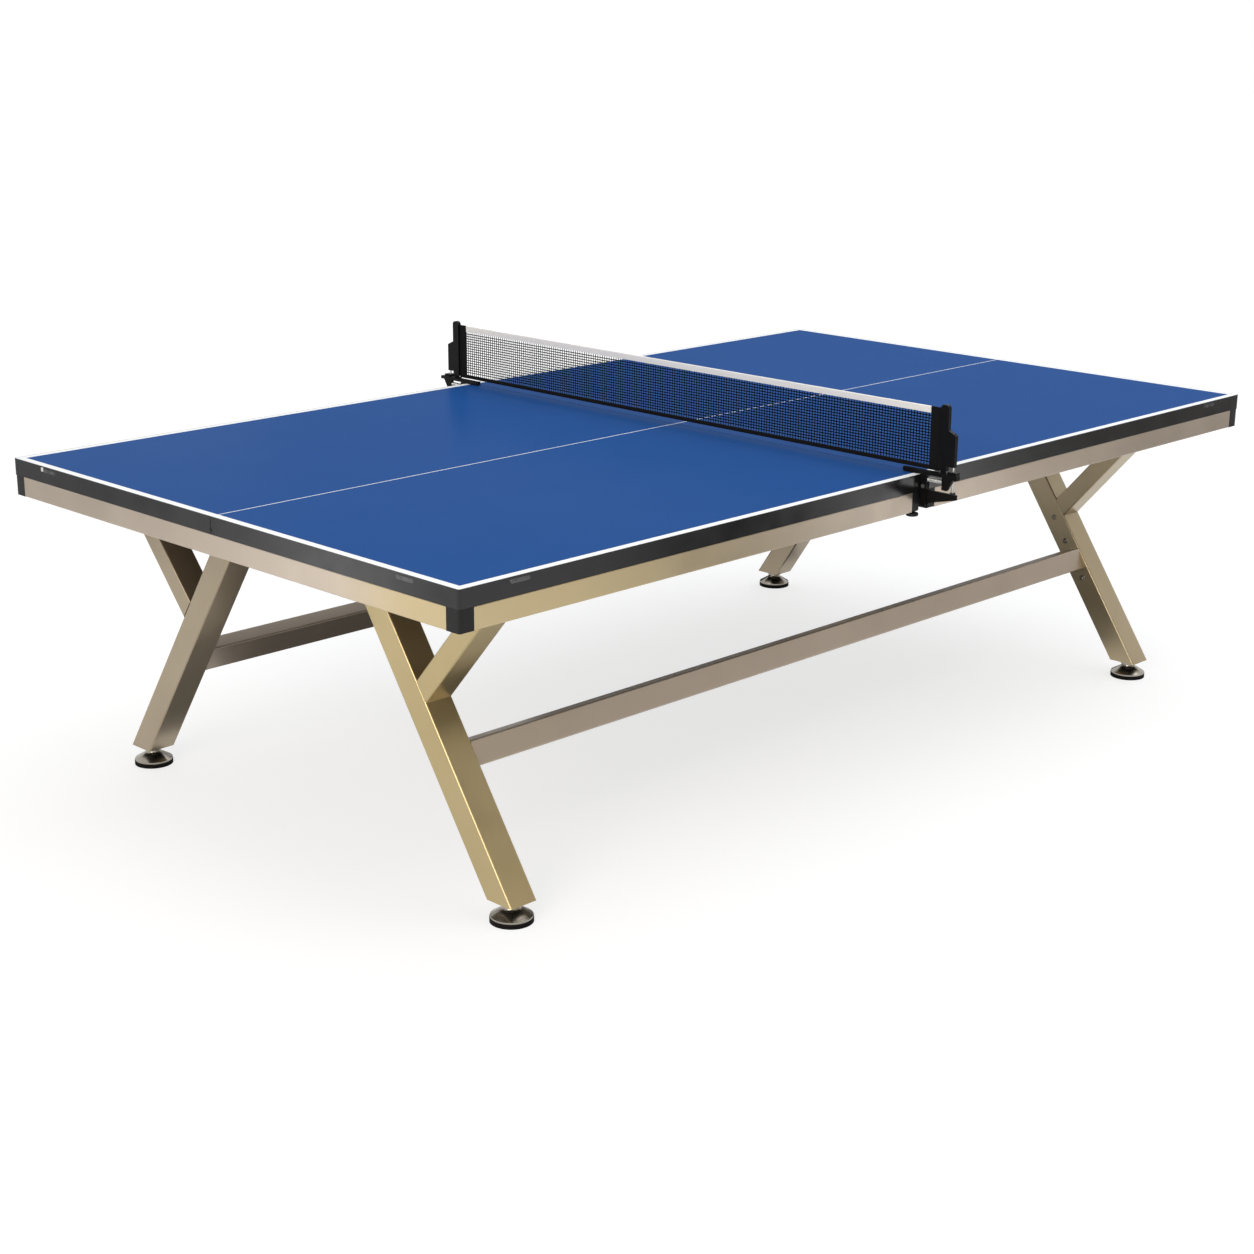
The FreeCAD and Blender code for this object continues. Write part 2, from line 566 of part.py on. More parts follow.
def make_frame_knob(side, sy):
    """Hand screw under the near rail end: a rounded disc with a stem up into the plug."""
    body = new_body("frame_knob_" + side, x=KNOB_X, y="%d * %s" % (sy, KNOB_Y),
                    z=RAIL_BOTTOM + " - sizes.knob_gap")
    disc = new_sketch(body, "XY_Plane", body.Name + "_disc")
    add_circle(disc, "0", "0", "sizes.knob_diameter / 2")
    pad(body, disc, "sizes.knob_thickness", back=True)
    fillet(body, "sizes.knob_thickness / 3", lambda edge: edge.Curve.TypeId == "Part::GeomCircle")
    stem = new_sketch(body, "XY_Plane", body.Name + "_stem")
    add_circle(stem, "0", "0", "sizes.knob_stem / 2")
    pad(body, stem, "sizes.knob_gap + sizes.knob_stem_length")
    return body


# ---------------------------------------------------------------------------------------------
# Legs, braces and stretchers
# ---------------------------------------------------------------------------------------------
STRETCHER_Y = "(sizes.foot_reach - (sizes.stretcher_level - sizes.foot_height) * %s)" % LEG_TAN


def leg_centre_y(level):
    """Distance of the leg's centre line from the middle of the table at a level."""
    return "(sizes.foot_reach - (%s - sizes.foot_height) * %s)" % (level, LEG_TAN)


def leg_slice(sketch, sy, bottom, top, inset):
    """The leg's outline between two levels, seen along the table, less a wall all round."""
    half = "(%s / 2 - %s)" % (LEG_ACROSS, inset)
    add_outline(sketch, [("%d * (%s + %s)" % (sy, leg_centre_y(bottom), half), bottom),
                         ("%d * (%s - %s)" % (sy, leg_centre_y(bottom), half), bottom),
                         ("%d * (%s - %s)" % (sy, leg_centre_y(top), half), top),
                         ("%d * (%s + %s)" % (sy, leg_centre_y(top), half), top)])


def leg_bolt_points(sy):
    """Places of the three bolts in the inner face of a leg, on its centre line."""
    steps = ("sizes.stretcher_bolt_step", "-sizes.stretcher_bolt_step", "sizes.brace_bolt_step")
    for step in steps:
        level = "(sizes.stretcher_level + %s)" % step
        yield "%d * %s" % (sy, leg_centre_y(level)), level


def make_leg(half, sx, side, sy):
    """Leaning box tube cut level at both ends, with bolt holes in the face towards the net."""
    body = new_body("leg_%s_%s" % (half, side), x="%d * %s" % (sx, BEAM_X))
    outside = new_sketch(body, "YZ_Plane", body.Name + "_outside")
    leg_slice(outside, sy, "sizes.foot_height", RAIL_BOTTOM, "0")
    pad(body, outside, "sizes.leg_depth", symmetric=True)
    lean = value_of("sizes.leg_lean")
    run = Rotation(Vector(1, 0, 0), sy * lean).multVec(Vector(0, 0, 1))
    fillet(body, "sizes.leg_radius", along(run))
    inside = new_sketch(body, "YZ_Plane", body.Name + "_inside")
    leg_slice(inside, sy, "sizes.foot_height", RAIL_BOTTOM, LEG_WALL_ACROSS)
    pocket(body, inside, "sizes.leg_depth - 2 * sizes.leg_wall", symmetric=True)
    wall = "%d * (sizes.leg_depth / 2 - sizes.leg_wall / 2)" % -sx
    holes = new_sketch(body, "YZ_Plane", body.Name + "_holes", wall)
    for across, up in leg_bolt_points(sy):
        add_circle(holes, across, up, "sizes.bolt_shank / 2 + sizes.bolt_play")
    pocket(body, holes, "2 * sizes.leg_wall", symmetric=True)
    return body


def make_leg_bolts():
    """Bolts through the inner faces of the legs, that hold the stretchers and braces."""
    body = new_body("leg_bolts", many=True)
    for half, sx in HALVES:
        face = "%d * (%s - sizes.leg_depth / 2)" % (sx, BEAM_X)
        heads = new_sketch(body, "YZ_Plane", "bolt_heads_" + half, face)
        shanks = new_sketch(body, "YZ_Plane", "bolt_shanks_" + half, face)
        for side, sy in SIDES:
            for across, up in leg_bolt_points(sy):
                add_circle(heads, across, up, "sizes.bolt_head / 2")
                add_circle(shanks, across, up, "sizes.bolt_shank / 2")
        pad(body, heads, "sizes.bolt_head_height", back=sx > 0)
        pad(body, shanks, "sizes.bolt_grip", back=sx < 0)
    return body


def brace_slice(sketch, sy, inset):
    """The brace's outline, seen along the table: level at the top, mitred on to the leg."""
    half = "(%s / 2 - %s)" % (BRACE_ACROSS, inset)
    corners = []
    for sign in ("+", "-"):
        top = "(sizes.brace_reach %s %s)" % (sign, half)
        slope = "(%s + %s)" % (BRACE_TAN, LEG_TAN)
        drop = "(%s - %s + (%s - sizes.foot_height) * %s)" % (top, LEG_OUTER_FOOT, RAIL_BOTTOM,
                                                             LEG_TAN)
        level = "(%s - %s / %s)" % (RAIL_BOTTOM, drop, slope)
        across = "(%s - %s / %s * %s)" % (top, drop, slope, BRACE_TAN)
        corners.append((("%d * %s" % (sy, top), RAIL_BOTTOM), ("%d * %s" % (sy, across), level)))
    (top_out, foot_out), (top_in, foot_in) = corners
    add_outline(sketch, [top_out, foot_out, foot_in, top_in])


def make_brace(half, sx, side, sy):
    """Short arm of the Y: a box tube from the leg's outer face up to the leg beam."""
    body = new_body("brace_%s_%s" % (half, side), x="%d * %s" % (sx, BEAM_X))
    outside = new_sketch(body, "YZ_Plane", body.Name + "_outside")
    brace_slice(outside, sy, "0")
    pad(body, outside, "sizes.leg_depth", symmetric=True)
    lean = value_of("sizes.brace_lean")
    run = Rotation(Vector(1, 0, 0), -sy * lean).multVec(Vector(0, 0, 1))
    fillet(body, "sizes.leg_radius", along(run))
    inside = new_sketch(body, "YZ_Plane", body.Name + "_inside")
    brace_slice(inside, sy, BRACE_WALL_ACROSS)
    pocket(body, inside, "sizes.leg_depth - 2 * sizes.leg_wall", symmetric=True)
    return body


def make_stretcher(side, sy):
    """Long tube between the legs of one side, canted so that its outer edge is up."""
    place = ("0", "%d * %s" % (sy, STRETCHER_Y), "sizes.stretcher_level")
    return box_tube("stretcher_" + side, "YZ_Plane",
                    ("sizes.stretcher_width", "sizes.stretcher_height"), "sizes.stretcher_wall",
                    "sizes.stretcher_radius", "(2 * %s - sizes.leg_depth)" % BEAM_X, place,
                    tilt="%d * sizes.stretcher_tilt * 1deg" % sy)


# ---------------------------------------------------------------------------------------------
# Levelling feet
# ---------------------------------------------------------------------------------------------
def foot_place(sx, sy):
    """Plan position of a foot."""
    return "%d * %s" % (sx, BEAM_X), "%d * sizes.foot_reach" % sy


def make_end_plates():
    """Threaded plates welded into the lower ends of the legs."""
    body = new_body("leg_end_plates", many=True)
    top = "(sizes.foot_height + sizes.end_plate)"
    inset = "(%s + sizes.end_plate_gap)" % LEG_WALL_ACROSS
    for half, sx in HALVES:
        plates = new_sketch(body, "YZ_Plane", "plates_" + half, "%d * %s" % (sx, BEAM_X))
        for side, sy in SIDES:
            leg_slice(plates, sy, "sizes.foot_height", top, inset)
        pad(body, plates, "sizes.leg_depth - 2 * (sizes.leg_wall + sizes.end_plate_gap)",
            symmetric=True)
    holes = new_sketch(body, "XY_Plane", "plate_holes", "sizes.foot_height")
    for half, sx, side, sy in CORNERS:
        across, up = foot_place(sx, sy)
        add_circle(holes, across, up, THREAD_HOLE)
    pocket(body, holes, "sizes.end_plate", back=True)
    return body


def revolve(body, name, corners):
    """A solid of revolution about the body's own Z axis."""
    sketch = new_sketch(body, "XZ_Plane", name)
    add_outline(sketch, corners)
    feature = body.newObject("PartDesign::Revolution", name + "_turn")
    feature.Profile = sketch
    feature.ReferenceAxis = (sketch, ["V_Axis"])
    feature.Angle = 360
    return feature


def make_foot_pad(half, sx, side, sy):
    """Rubber disc with a groove round it."""
    body = new_body("foot_pad_%s_%s" % (half, side), *foot_place(sx, sy))
    edge = "sizes.pad_diameter / 2"
    groove = "%s - sizes.pad_groove" % edge
    low = "sizes.pad_thickness / 2 - sizes.pad_groove / 2"
    high = "sizes.pad_thickness / 2 + sizes.pad_groove / 2"
    revolve(body, body.Name + "_section",
            [("0", "0"), (edge, "0"), (edge, low), (groove, low), (groove, high), (edge, high),
             (edge, "sizes.pad_thickness"), ("0", "sizes.pad_thickness")])
    return body


def make_foot_stud(half, sx, side, sy):
    """Conical bell with its neck, collar and threaded stud, turned from one bar."""
    place = foot_place(sx, sy)
    body = new_body("foot_stud_%s_%s" % (half, side), place[0], place[1], "sizes.pad_thickness")
    rim = "sizes.bell_diameter / 2"
    neck = "sizes.neck_diameter / 2"
    collar = "sizes.collar_diameter / 2"
    stud = "sizes.stud_diameter / 2"
    collar_top = "(sizes.foot_height - sizes.seat_gap - sizes.pad_thickness)"
    collar_base = "(%s - sizes.collar_height)" % collar_top
    stud_top = "(%s + sizes.stud_length)" % collar_top
    revolve(body, body.Name + "_section",
            [("0", "0"), (rim, "0"), (rim, "sizes.bell_rim"), (neck, "sizes.bell_rise"),
             (neck, collar_base), (collar, collar_base), (collar, collar_top),
             (stud, collar_top), (stud, stud_top), ("0", stud_top)])
    doc.recompute()
    neck_radius = value_of(neck)
    cone_top = value_of("sizes.bell_rise")

    def throat(edge):
        circle = edge.Curve.TypeId == "Part::GeomCircle" and len(edge.Vertexes) == 1
        return (circle and abs(edge.Curve.Radius - neck_radius) < 0.01
                and abs(edge.CenterOfMass.z - cone_top) < 0.01)

    fillet(body, "sizes.bell_flare", throat)
    return body


# ---------------------------------------------------------------------------------------------
# Net set: clamps, height screws, posts and net
# ---------------------------------------------------------------------------------------------
def make_bracket(side, sy):
    """Clamp casting: arm over the board, forked web, strut, screw boss and post guide."""
    body = new_body("clamp_bracket_" + side)
    arm = new_sketch(body, "YZ_Plane", body.Name + "_arm", ARM_MIDDLE_X)
    add_rectangle(arm, out(sy, "-sizes.arm_inboard"), out(sy, "sizes.arm_outboard"),
                  ARM_BOTTOM, ARM_TOP)
    pad(body, arm, "sizes.arm_width", symmetric=True)
    edge = value_of(HALF_WIDTH)
    fillet(body, "sizes.arm_tip_radius",
           along(Vector(0, 0, 1), lambda point: abs(point.y) < edge))
    web = new_sketch(body, "YZ_Plane", body.Name + "_web", ARM_MIDDLE_X)
    add_rectangle(web, out(sy, "sizes.web_gap"), out(sy, "sizes.web_gap + sizes.web_depth"),
                  below("sizes.web_drop"), ARM_BOTTOM)
    pad(body, web, "sizes.arm_width", symmetric=True)
    lowest = value_of(below("sizes.web_drop")) + 1
    fillet(body, "sizes.web_radius", along(Vector(1, 0, 0), lambda point: point.z < lowest))
    strut = new_sketch(body, "YZ_Plane", body.Name + "_strut", ARM_MIDDLE_X)
    add_outline(strut, [(out(sy, "sizes.strut_top_in"), ARM_BOTTOM),
                        (out(sy, "sizes.strut_foot_in"), below("sizes.strut_drop")),
                        (out(sy, "sizes.strut_foot_out"), below("sizes.strut_drop")),
                        (out(sy, "sizes.strut_top_out"), ARM_BOTTOM)])
    pad(body, strut, "sizes.strut_thickness", symmetric=True)
    shelf = new_sketch(body, "XY_Plane", body.Name + "_shelf", ARM_BOTTOM)
    add_rectangle(shelf, "-(sizes.arm_offset + sizes.arm_width / 2)", "sizes.post_thickness / 2",
                  out(sy, "sizes.post_start"), out(sy, "sizes.boss_start + sizes.boss_radius"))
    pad(body, shelf, "sizes.arm_thickness")
    boss = new_sketch(body, "XY_Plane", body.Name + "_boss", ARM_BOTTOM + " - sizes.boss_rise")
    add_rectangle(boss, "-sizes.boss_width / 2", "sizes.boss_width / 2",
                  out(sy, "sizes.boss_start"), out(sy, "sizes.boss_end"))
    pad(body, boss, "sizes.arm_thickness + 2 * sizes.boss_rise")
    outer_end = value_of(HALF_WIDTH) + value_of("sizes.boss_end") - 1
    fillet(body, "sizes.boss_radius",
           along(Vector(0, 0, 1), lambda point: abs(point.y) > outer_end and point.x > -1))
    guide = new_sketch(body, "XY_Plane", body.Name + "_guide", ARM_TOP)
    guide_start = "sizes.post_start + (sizes.post_width - sizes.guide_width) / 2"
    add_rectangle(guide, "-sizes.guide_thickness / 2", "sizes.guide_thickness / 2",
                  out(sy, guide_start), out(sy, guide_start + " + sizes.guide_width"))
    pad(body, guide, "sizes.guide_height - sizes.jaw_pad - sizes.arm_thickness")
    slot = new_sketch(body, "XZ_Plane", body.Name + "_slot",
                      "%d * (%s + sizes.web_gap + sizes.web_depth / 2)" % (-sy, HALF_WIDTH))
    half_slot = "(sizes.lever_thickness / 2 + sizes.lever_play)"
    slot_top = below("sizes.pivot_drop") + " + sizes.pivot_boss + sizes.lever_play"
    add_rectangle(slot, "%s - %s" % (ARM_MIDDLE_X, half_slot), "%s + %s" % (ARM_MIDDLE_X, half_slot),
                  below("sizes.web_drop") + " - 1", slot_top)
    pocket(body, slot, "sizes.web_depth + 2", symmetric=True)
    screw_hole = new_sketch(body, "XY_Plane", body.Name + "_screw_hole",
                            ARM_BOTTOM + " + sizes.arm_thickness / 2")
    add_circle(screw_hole, "0", out(sy, "sizes.screw_out"), SCREW_HOLE)
    pocket(body, screw_hole, "sizes.arm_thickness + 3 * sizes.boss_rise", symmetric=True)
    pin_hole = new_sketch(body, "YZ_Plane", body.Name + "_pin_hole", ARM_MIDDLE_X)
    add_circle(pin_hole, out(sy, "sizes.pivot_out"), below("sizes.pivot_drop"), PIN_HOLE)
    pocket(body, pin_hole, "sizes.arm_width + 2", symmetric=True)
    return body


def make_lever(side, sy):
    """Clamp lever: a jaw under the apron and a tapering handle, on one pivot."""
    body = new_body("clamp_lever_" + side, x=ARM_MIDDLE_X)
    jaw_top = "sizes.apron_height + sizes.seat_gap"
    profile = new_sketch(body, "YZ_Plane", body.Name + "_profile")
    add_outline(profile, [
        (out(sy, "-sizes.jaw_inboard"), below("(%s)" % jaw_top)),
        (out(sy, "-sizes.jaw_inboard"), below("(%s + sizes.jaw_thickness)" % jaw_top)),
        (out(sy, "0"), below("(%s + 2 * sizes.jaw_thickness)" % jaw_top)),
        (out(sy, "sizes.pivot_out / 2"), below("sizes.handle_bottom")),
        (out(sy, "sizes.handle_heel"), below("sizes.handle_bottom")),
        (out(sy, "sizes.handle_out"), below("(sizes.handle_top + sizes.handle_tip)")),
        (out(sy, "sizes.handle_out"), below("sizes.handle_top")),
        (out(sy, "(sizes.pivot_out + sizes.pivot_boss)"), below("sizes.handle_top")),
        (out(sy, "(sizes.pivot_out + sizes.pivot_boss)"), below("sizes.pivot_drop")),
        (out(sy, "(sizes.pivot_out - sizes.pivot_boss)"), below("sizes.pivot_drop")),
        (out(sy, "(sizes.pivot_out - sizes.pivot_boss)"), below("(%s)" % jaw_top))])
    pad(body, profile, "sizes.lever_thickness", symmetric=True)
    boss = new_sketch(body, "YZ_Plane", body.Name + "_boss")
    add_circle(boss, out(sy, "sizes.pivot_out"), below("sizes.pivot_drop"), "sizes.pivot_boss")
    pad(body, boss, "sizes.lever_thickness", symmetric=True)
    hole = new_sketch(body, "YZ_Plane", body.Name + "_hole")
    add_circle(hole, out(sy, "sizes.pivot_out"), below("sizes.pivot_drop"), PIN_HOLE)
    pocket(body, hole, "sizes.lever_thickness + 2", symmetric=True)
    return body


def make_clamp_pins():
    """Rivets that the clamp levers turn on."""
    body = new_body("clamp_pins", many=True)
    shanks = new_sketch(body, "YZ_Plane", "pin_shanks", ARM_MIDDLE_X)
    for side, sy in SIDES:
        add_circle(shanks, out(sy, "sizes.pivot_out"), below("sizes.pivot_drop"),
                   "sizes.pin_diameter / 2")
    pad(body, shanks, "sizes.arm_width", symmetric=True)
    for sign in (-1, 1):
        face = "%s + %d * sizes.arm_width / 2" % (ARM_MIDDLE_X, sign)
        heads = new_sketch(body, "YZ_Plane", "pin_heads_%s" % ("near" if sign < 0 else "far"), face)
        for side, sy in SIDES:
            add_circle(heads, out(sy, "sizes.pivot_out"), below("sizes.pivot_drop"),
                       "sizes.pin_head / 2")
        pad(body, heads, "sizes.pin_head_height", back=sign < 0)
    return body


def make_clamp_springs():
    """Closely wound springs under the clamp arms, seated on the webs."""
    body = new_body("clamp_springs", many=True)
    for side, sy in SIDES:
        seat = "%d * (%s + sizes.web_gap + sizes.web_depth)" % (-sy, HALF_WIDTH)
        ends = new_sketch(body, "XZ_Plane", "spring_" + side, seat)
        add_circle(ends, ARM_MIDDLE_X, below("sizes.spring_drop"), "sizes.spring_diameter / 2")
        pad(body, ends, "sizes.spring_length", back=sy > 0)
    return body


def make_clamp_pads():
    """Rubber pads between the clamp arms and the boards."""
    body = new_body("clamp_pads", z="sizes.playing_height", many=True)
    plan = new_sketch(body, "XY_Plane", "clamp_pads_plan")
    margin = "(sizes.arm_width / 2 - sizes.jaw_pad)"
    for side, sy in SIDES:
        start = "-sizes.arm_inboard + sizes.arm_tip_radius"
        add_rectangle(plan, "%s - %s" % (ARM_MIDDLE_X, margin), "%s + %s" % (ARM_MIDDLE_X, margin),
                      out(sy, start), out(sy, start + " + sizes.jaw_pad_length"))
    pad(body, plan, "sizes.jaw_pad")
    return body


def make_height_screw(side, sy):
    """Thin steel screw that raises and lowers one net post."""
    body = new_body("height_screw_" + side, y=out(sy, "sizes.screw_out"),
                    z=below("sizes.screw_bottom"))
    section = new_sketch(body, "XY_Plane", body.Name + "_section")
    add_circle(section, "0", "0", "sizes.screw_diameter / 2")
    pad(body, section, "sizes.screw_bottom + sizes.screw_top")
    return body


def make_height_knob(side, sy):
    """Grooved knob on the lower end of the height screw."""
    body = new_body("height_knob_" + side, y=out(sy, "sizes.screw_out"),
                    z=below("sizes.height_knob_drop"))
    section = new_sketch(body, "XY_Plane", body.Name + "_section")
    add_circle(section, "0", "0", "sizes.height_knob_diameter / 2")
    pad(body, section, "sizes.height_knob_height")
    hole = new_sketch(body, "XY_Plane", body.Name + "_hole")
    add_circle(hole, "0", "0", SCREW_HOLE)
    pocket(body, hole, "sizes.height_knob_height", back=True)
    groove = new_sketch(body, "XY_Plane", body.Name + "_groove")
    add_circle(groove, "sizes.height_knob_diameter / 2", "0", "sizes.height_knob_rib / 2")
    cut = pocket(body, groove, "sizes.height_knob_height", back=True)
    ring = body.newObject("PartDesign::PolarPattern", body.Name + "_grip")
    ring.Originals = [cut]
    ring.Axis = (groove, ["N_Axis"])
    ring.Angle = 360
    ring.setExpression("Occurrences", "sizes.height_knob_ribs")
    body.Tip = ring
    return body


def make_post(side, sy):
    """Net post: a hollow blade with a round top, and a threaded lug on its outer side."""
    body = new_body("net_post_" + side)
    inner = out(sy, "sizes.post_start")
    outer = out(sy, "(sizes.post_start + sizes.post_width)")
    lug = out(sy, "(sizes.post_start + sizes.post_width + sizes.lug_width)")
    blade = new_sketch(body, "YZ_Plane", body.Name + "_blade")
    add_rectangle(blade, inner, outer, above("sizes.post_lift"),
                  above("(sizes.net_height + sizes.post_rise)"))
    pad(body, blade, "sizes.post_thickness", symmetric=True)
    top = value_of(above("sizes.net_height"))
    fillet(body, "sizes.post_radius", along(Vector(1, 0, 0), lambda point: point.z > top))
    shoulder = new_sketch(body, "YZ_Plane", body.Name + "_lug")
    add_outline(shoulder, [(outer, above("sizes.lug_bottom")), (lug, above("sizes.lug_bottom")),
                           (lug, above("(sizes.lug_top - sizes.lug_slope)")),
                           (outer, above("sizes.lug_top"))])
    pad(body, shoulder, "sizes.post_thickness", symmetric=True)
    bore = new_sketch(body, "XY_Plane", body.Name + "_bore", above("sizes.post_lift"))
    start = "sizes.post_start + (sizes.post_width - sizes.guide_width) / 2 - sizes.guide_play"
    half_bore = "(sizes.guide_thickness / 2 + sizes.guide_play)"
    add_rectangle(bore, "-" + half_bore, half_bore, out(sy, start),
                  out(sy, start + " + sizes.guide_width + 2 * sizes.guide_play"))
    pocket(body, bore, "sizes.bore_top - sizes.post_lift", back=True)
    thread = new_sketch(body, "XY_Plane", body.Name + "_thread", above("sizes.lug_bottom"))
    add_circle(thread, "0", out(sy, "sizes.screw_out"), SCREW_HOLE)
    pocket(body, thread, "sizes.lug_top", back=True)
    return body


def make_net():
    """The net as one thin sheet, with a full-height sleeve at each post."""
    body = new_body("net")
    sleeve_end = "(%s + sizes.post_start - sizes.seat_gap)" % HALF_WIDTH
    sleeve_start = "(%s - sizes.sleeve_width)" % sleeve_end
    under_tape = above("(sizes.net_height - sizes.tape_height - sizes.seat_gap)")
    top = above("sizes.net_height")
    bottom = above("sizes.net_lift")
    outline = new_sketch(body, "YZ_Plane", "net_outline")
    add_outline(outline, [("-" + sleeve_end, bottom), (sleeve_end, bottom), (sleeve_end, top),
                          (sleeve_start, top), (sleeve_start, under_tape),
                          ("-" + sleeve_start, under_tape), ("-" + sleeve_start, top),
                          ("-" + sleeve_end, top)])
    pad(body, outline, "sizes.net_thickness", symmetric=True)
    return body


def make_tape():
    """White tape along the top of the net, between the sleeves."""
    body = new_body("net_tape")
    end = "(%s + sizes.post_start - 2 * sizes.seat_gap - sizes.sleeve_width)" % HALF_WIDTH
    outline = new_sketch(body, "YZ_Plane", "tape_outline")
    add_rectangle(outline, "-" + end, end, above("(sizes.net_height - sizes.tape_height)"),
                  above("sizes.net_height"))
    pad(body, outline, "sizes.tape_thickness", symmetric=True)
    return body


# ---------------------------------------------------------------------------------------------
# Assembly
# ---------------------------------------------------------------------------------------------
def make_all():
    """Every sub-part of the table, in the order in which it goes together."""
    parts = []
    for half, sx in HALVES:
        parts += [make_board(half, sx), make_end_rail(half, sx), make_centre_rail(half, sx),
                  make_leg_beam(half, sx)]
    for corner in CORNERS:
        parts += [make_apron(*corner), make_side_rail(*corner), make_corner_cap(*corner),
                  make_leg(*corner), make_brace(*corner), make_foot_pad(*corner),
                  make_foot_stud(*corner)]
    parts += [make_clips(), make_seam_screws(), make_rail_end_caps(), make_leg_bolts(),
              make_end_plates(), make_clamp_pins(), make_clamp_springs(), make_clamp_pads()]
    for side, sy in SIDES:
        parts += [make_frame_knob(side, sy), make_stretcher(side, sy), make_bracket(side, sy),
                  make_lever(side, sy), make_height_screw(side, sy), make_height_knob(side, sy),
                  make_post(side, sy)]
    parts += [make_net(), make_tape()]
    return parts


def check(parts):
    """Stop if any feature failed or any sub-part is not a sound solid."""
    doc.recompute()
    for item in doc.Objects:
        if "Invalid" in item.State or "Error" in item.State:
            raise RuntimeError("%s is in state %s" % (item.Name, item.State))
    for body in parts:
        shape = body.Shape
        if shape.isNull() or not shape.isValid() or not shape.Solids:
            raise RuntimeError("%s has no valid solid" % body.Label)


parts = make_all()
check(parts)
os.makedirs("parts", exist_ok=True)
for body in parts:
    body.Shape.exportStep("parts/%s.step" % body.Label)
print("%d sub-parts written" % len(parts))
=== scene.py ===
# %% [markdown]
# # A full-size table tennis table
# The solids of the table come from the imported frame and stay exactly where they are.  This script
# gives them finishes, and builds what a solid can't show well: the netting, its white tape, the
# coiled springs, the screw heads and the pressed clips.  One Blender unit is one metre.

# %% The frame
import math
import bmesh
import bpy
from mathutils import Matrix, Vector


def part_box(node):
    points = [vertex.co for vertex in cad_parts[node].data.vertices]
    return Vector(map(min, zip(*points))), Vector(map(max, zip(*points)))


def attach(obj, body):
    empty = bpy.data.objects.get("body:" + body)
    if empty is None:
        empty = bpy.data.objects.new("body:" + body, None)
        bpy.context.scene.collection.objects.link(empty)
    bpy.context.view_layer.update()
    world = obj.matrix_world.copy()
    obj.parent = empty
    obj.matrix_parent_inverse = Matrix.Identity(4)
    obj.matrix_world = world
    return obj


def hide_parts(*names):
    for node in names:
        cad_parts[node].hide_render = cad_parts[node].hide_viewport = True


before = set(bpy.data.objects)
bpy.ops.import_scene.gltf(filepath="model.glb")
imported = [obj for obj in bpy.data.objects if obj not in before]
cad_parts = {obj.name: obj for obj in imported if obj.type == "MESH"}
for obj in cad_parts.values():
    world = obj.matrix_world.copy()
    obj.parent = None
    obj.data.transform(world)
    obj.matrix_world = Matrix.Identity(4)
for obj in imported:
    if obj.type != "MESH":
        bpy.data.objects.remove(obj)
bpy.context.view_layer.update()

MM = 0.001

# %% [markdown]
# ## Sizes that the scene shares with the solids
# The large sizes are read from the boxes of solids, so they follow the table if it changes.  In
# names, "near" and "far" are its two ends, and "left" and "right" its two sides.

# %% Places read from the solids
NEAR_AND_FAR = (-1, 1)
SIDES = (("left", 1), ("right", -1))
SURFACE = Vector(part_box("board_far")[1]).z
HALF_LENGTH, HALF_WIDTH = Vector(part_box("apron_far_left")[1]).xy
net_low, net_high = (Vector(corner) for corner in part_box("net"))
tape_low, tape_high = (Vector(corner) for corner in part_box("net_tape"))
print("half length %.3f, half width %.4f, surface %.3f" % (HALF_LENGTH, HALF_WIDTH, SURFACE))

# %% [markdown]
# ## Camera
# A product shot of a table is taken from a standing person's distance with a short telephoto lens,
# so that the long sides stay calm.  The camera looks across one corner, a little above the top.

# %% Camera
CAMERA_PLACE = Vector((-3.7956, -3.5683, 1.8095))
CAMERA_AZIMUTH = math.radians(-45.5)
CAMERA_ELEVATION = math.radians(16.8)
CAMERA_ROLL = math.radians(0.4)
LENS_MM = 61.8
SENSOR_MM = 36


def camera_axes(azimuth, elevation, roll):
    """Right, up and back of a camera that looks at the table from an azimuth and elevation."""
    back = Vector((math.sin(azimuth) * math.cos(elevation),
                   -math.cos(azimuth) * math.cos(elevation), math.sin(elevation)))
    right = Vector((math.cos(azimuth), math.sin(azimuth), 0))
    up = back.cross(right)
    turned_right = math.cos(roll) * right + math.sin(roll) * up
    turned_up = math.cos(roll) * up - math.sin(roll) * right
    return turned_right, turned_up, back


scene = bpy.context.scene
camera_data = bpy.data.cameras.new("camera")
camera_data.lens = LENS_MM
camera_data.sensor_width = SENSOR_MM
camera_data.clip_end = 60
camera = bpy.data.objects.new("camera", camera_data)
scene.collection.objects.link(camera)
axes = Matrix(camera_axes(CAMERA_AZIMUTH, CAMERA_ELEVATION, CAMERA_ROLL)).transposed()
camera.matrix_world = Matrix.Translation(CAMERA_PLACE) @ axes.to_4x4()
scene.camera = camera
print("camera at", [round(value, 3) for value in CAMERA_PLACE])

# %% [markdown]
# ## Node helper
# A material is a small graph.  One function adds a node, sets its properties and either fills an
# input with a value or links it to another node's output, so each finish reads from top to bottom.

# %% Node and colour helpers
NOISE_LOW = 0.3
NOISE_HIGH = 0.7


def add(tree, kind, inputs=None, **settings):
    """A new node of a kind, with its properties set and its inputs filled or linked."""
    node = tree.nodes.new(kind)
    for name, value in settings.items():
        setattr(node, name, value)
    for name, value in (inputs or {}).items():
        if isinstance(value, bpy.types.NodeSocket):
            tree.links.new(value, node.inputs[name])
        else:
            node.inputs[name].default_value = value
    return node


def linear(hex_colour):
    """An sRGB hex colour as the linear RGBA that a shader works in."""
    channels = [int(hex_colour[i:i + 2], 16) / 255 for i in (1, 3, 5)]
    return [c / 12.92 if c <= 0.04045 else ((c + 0.055) / 1.055) ** 2.4 for c in channels] + [1]


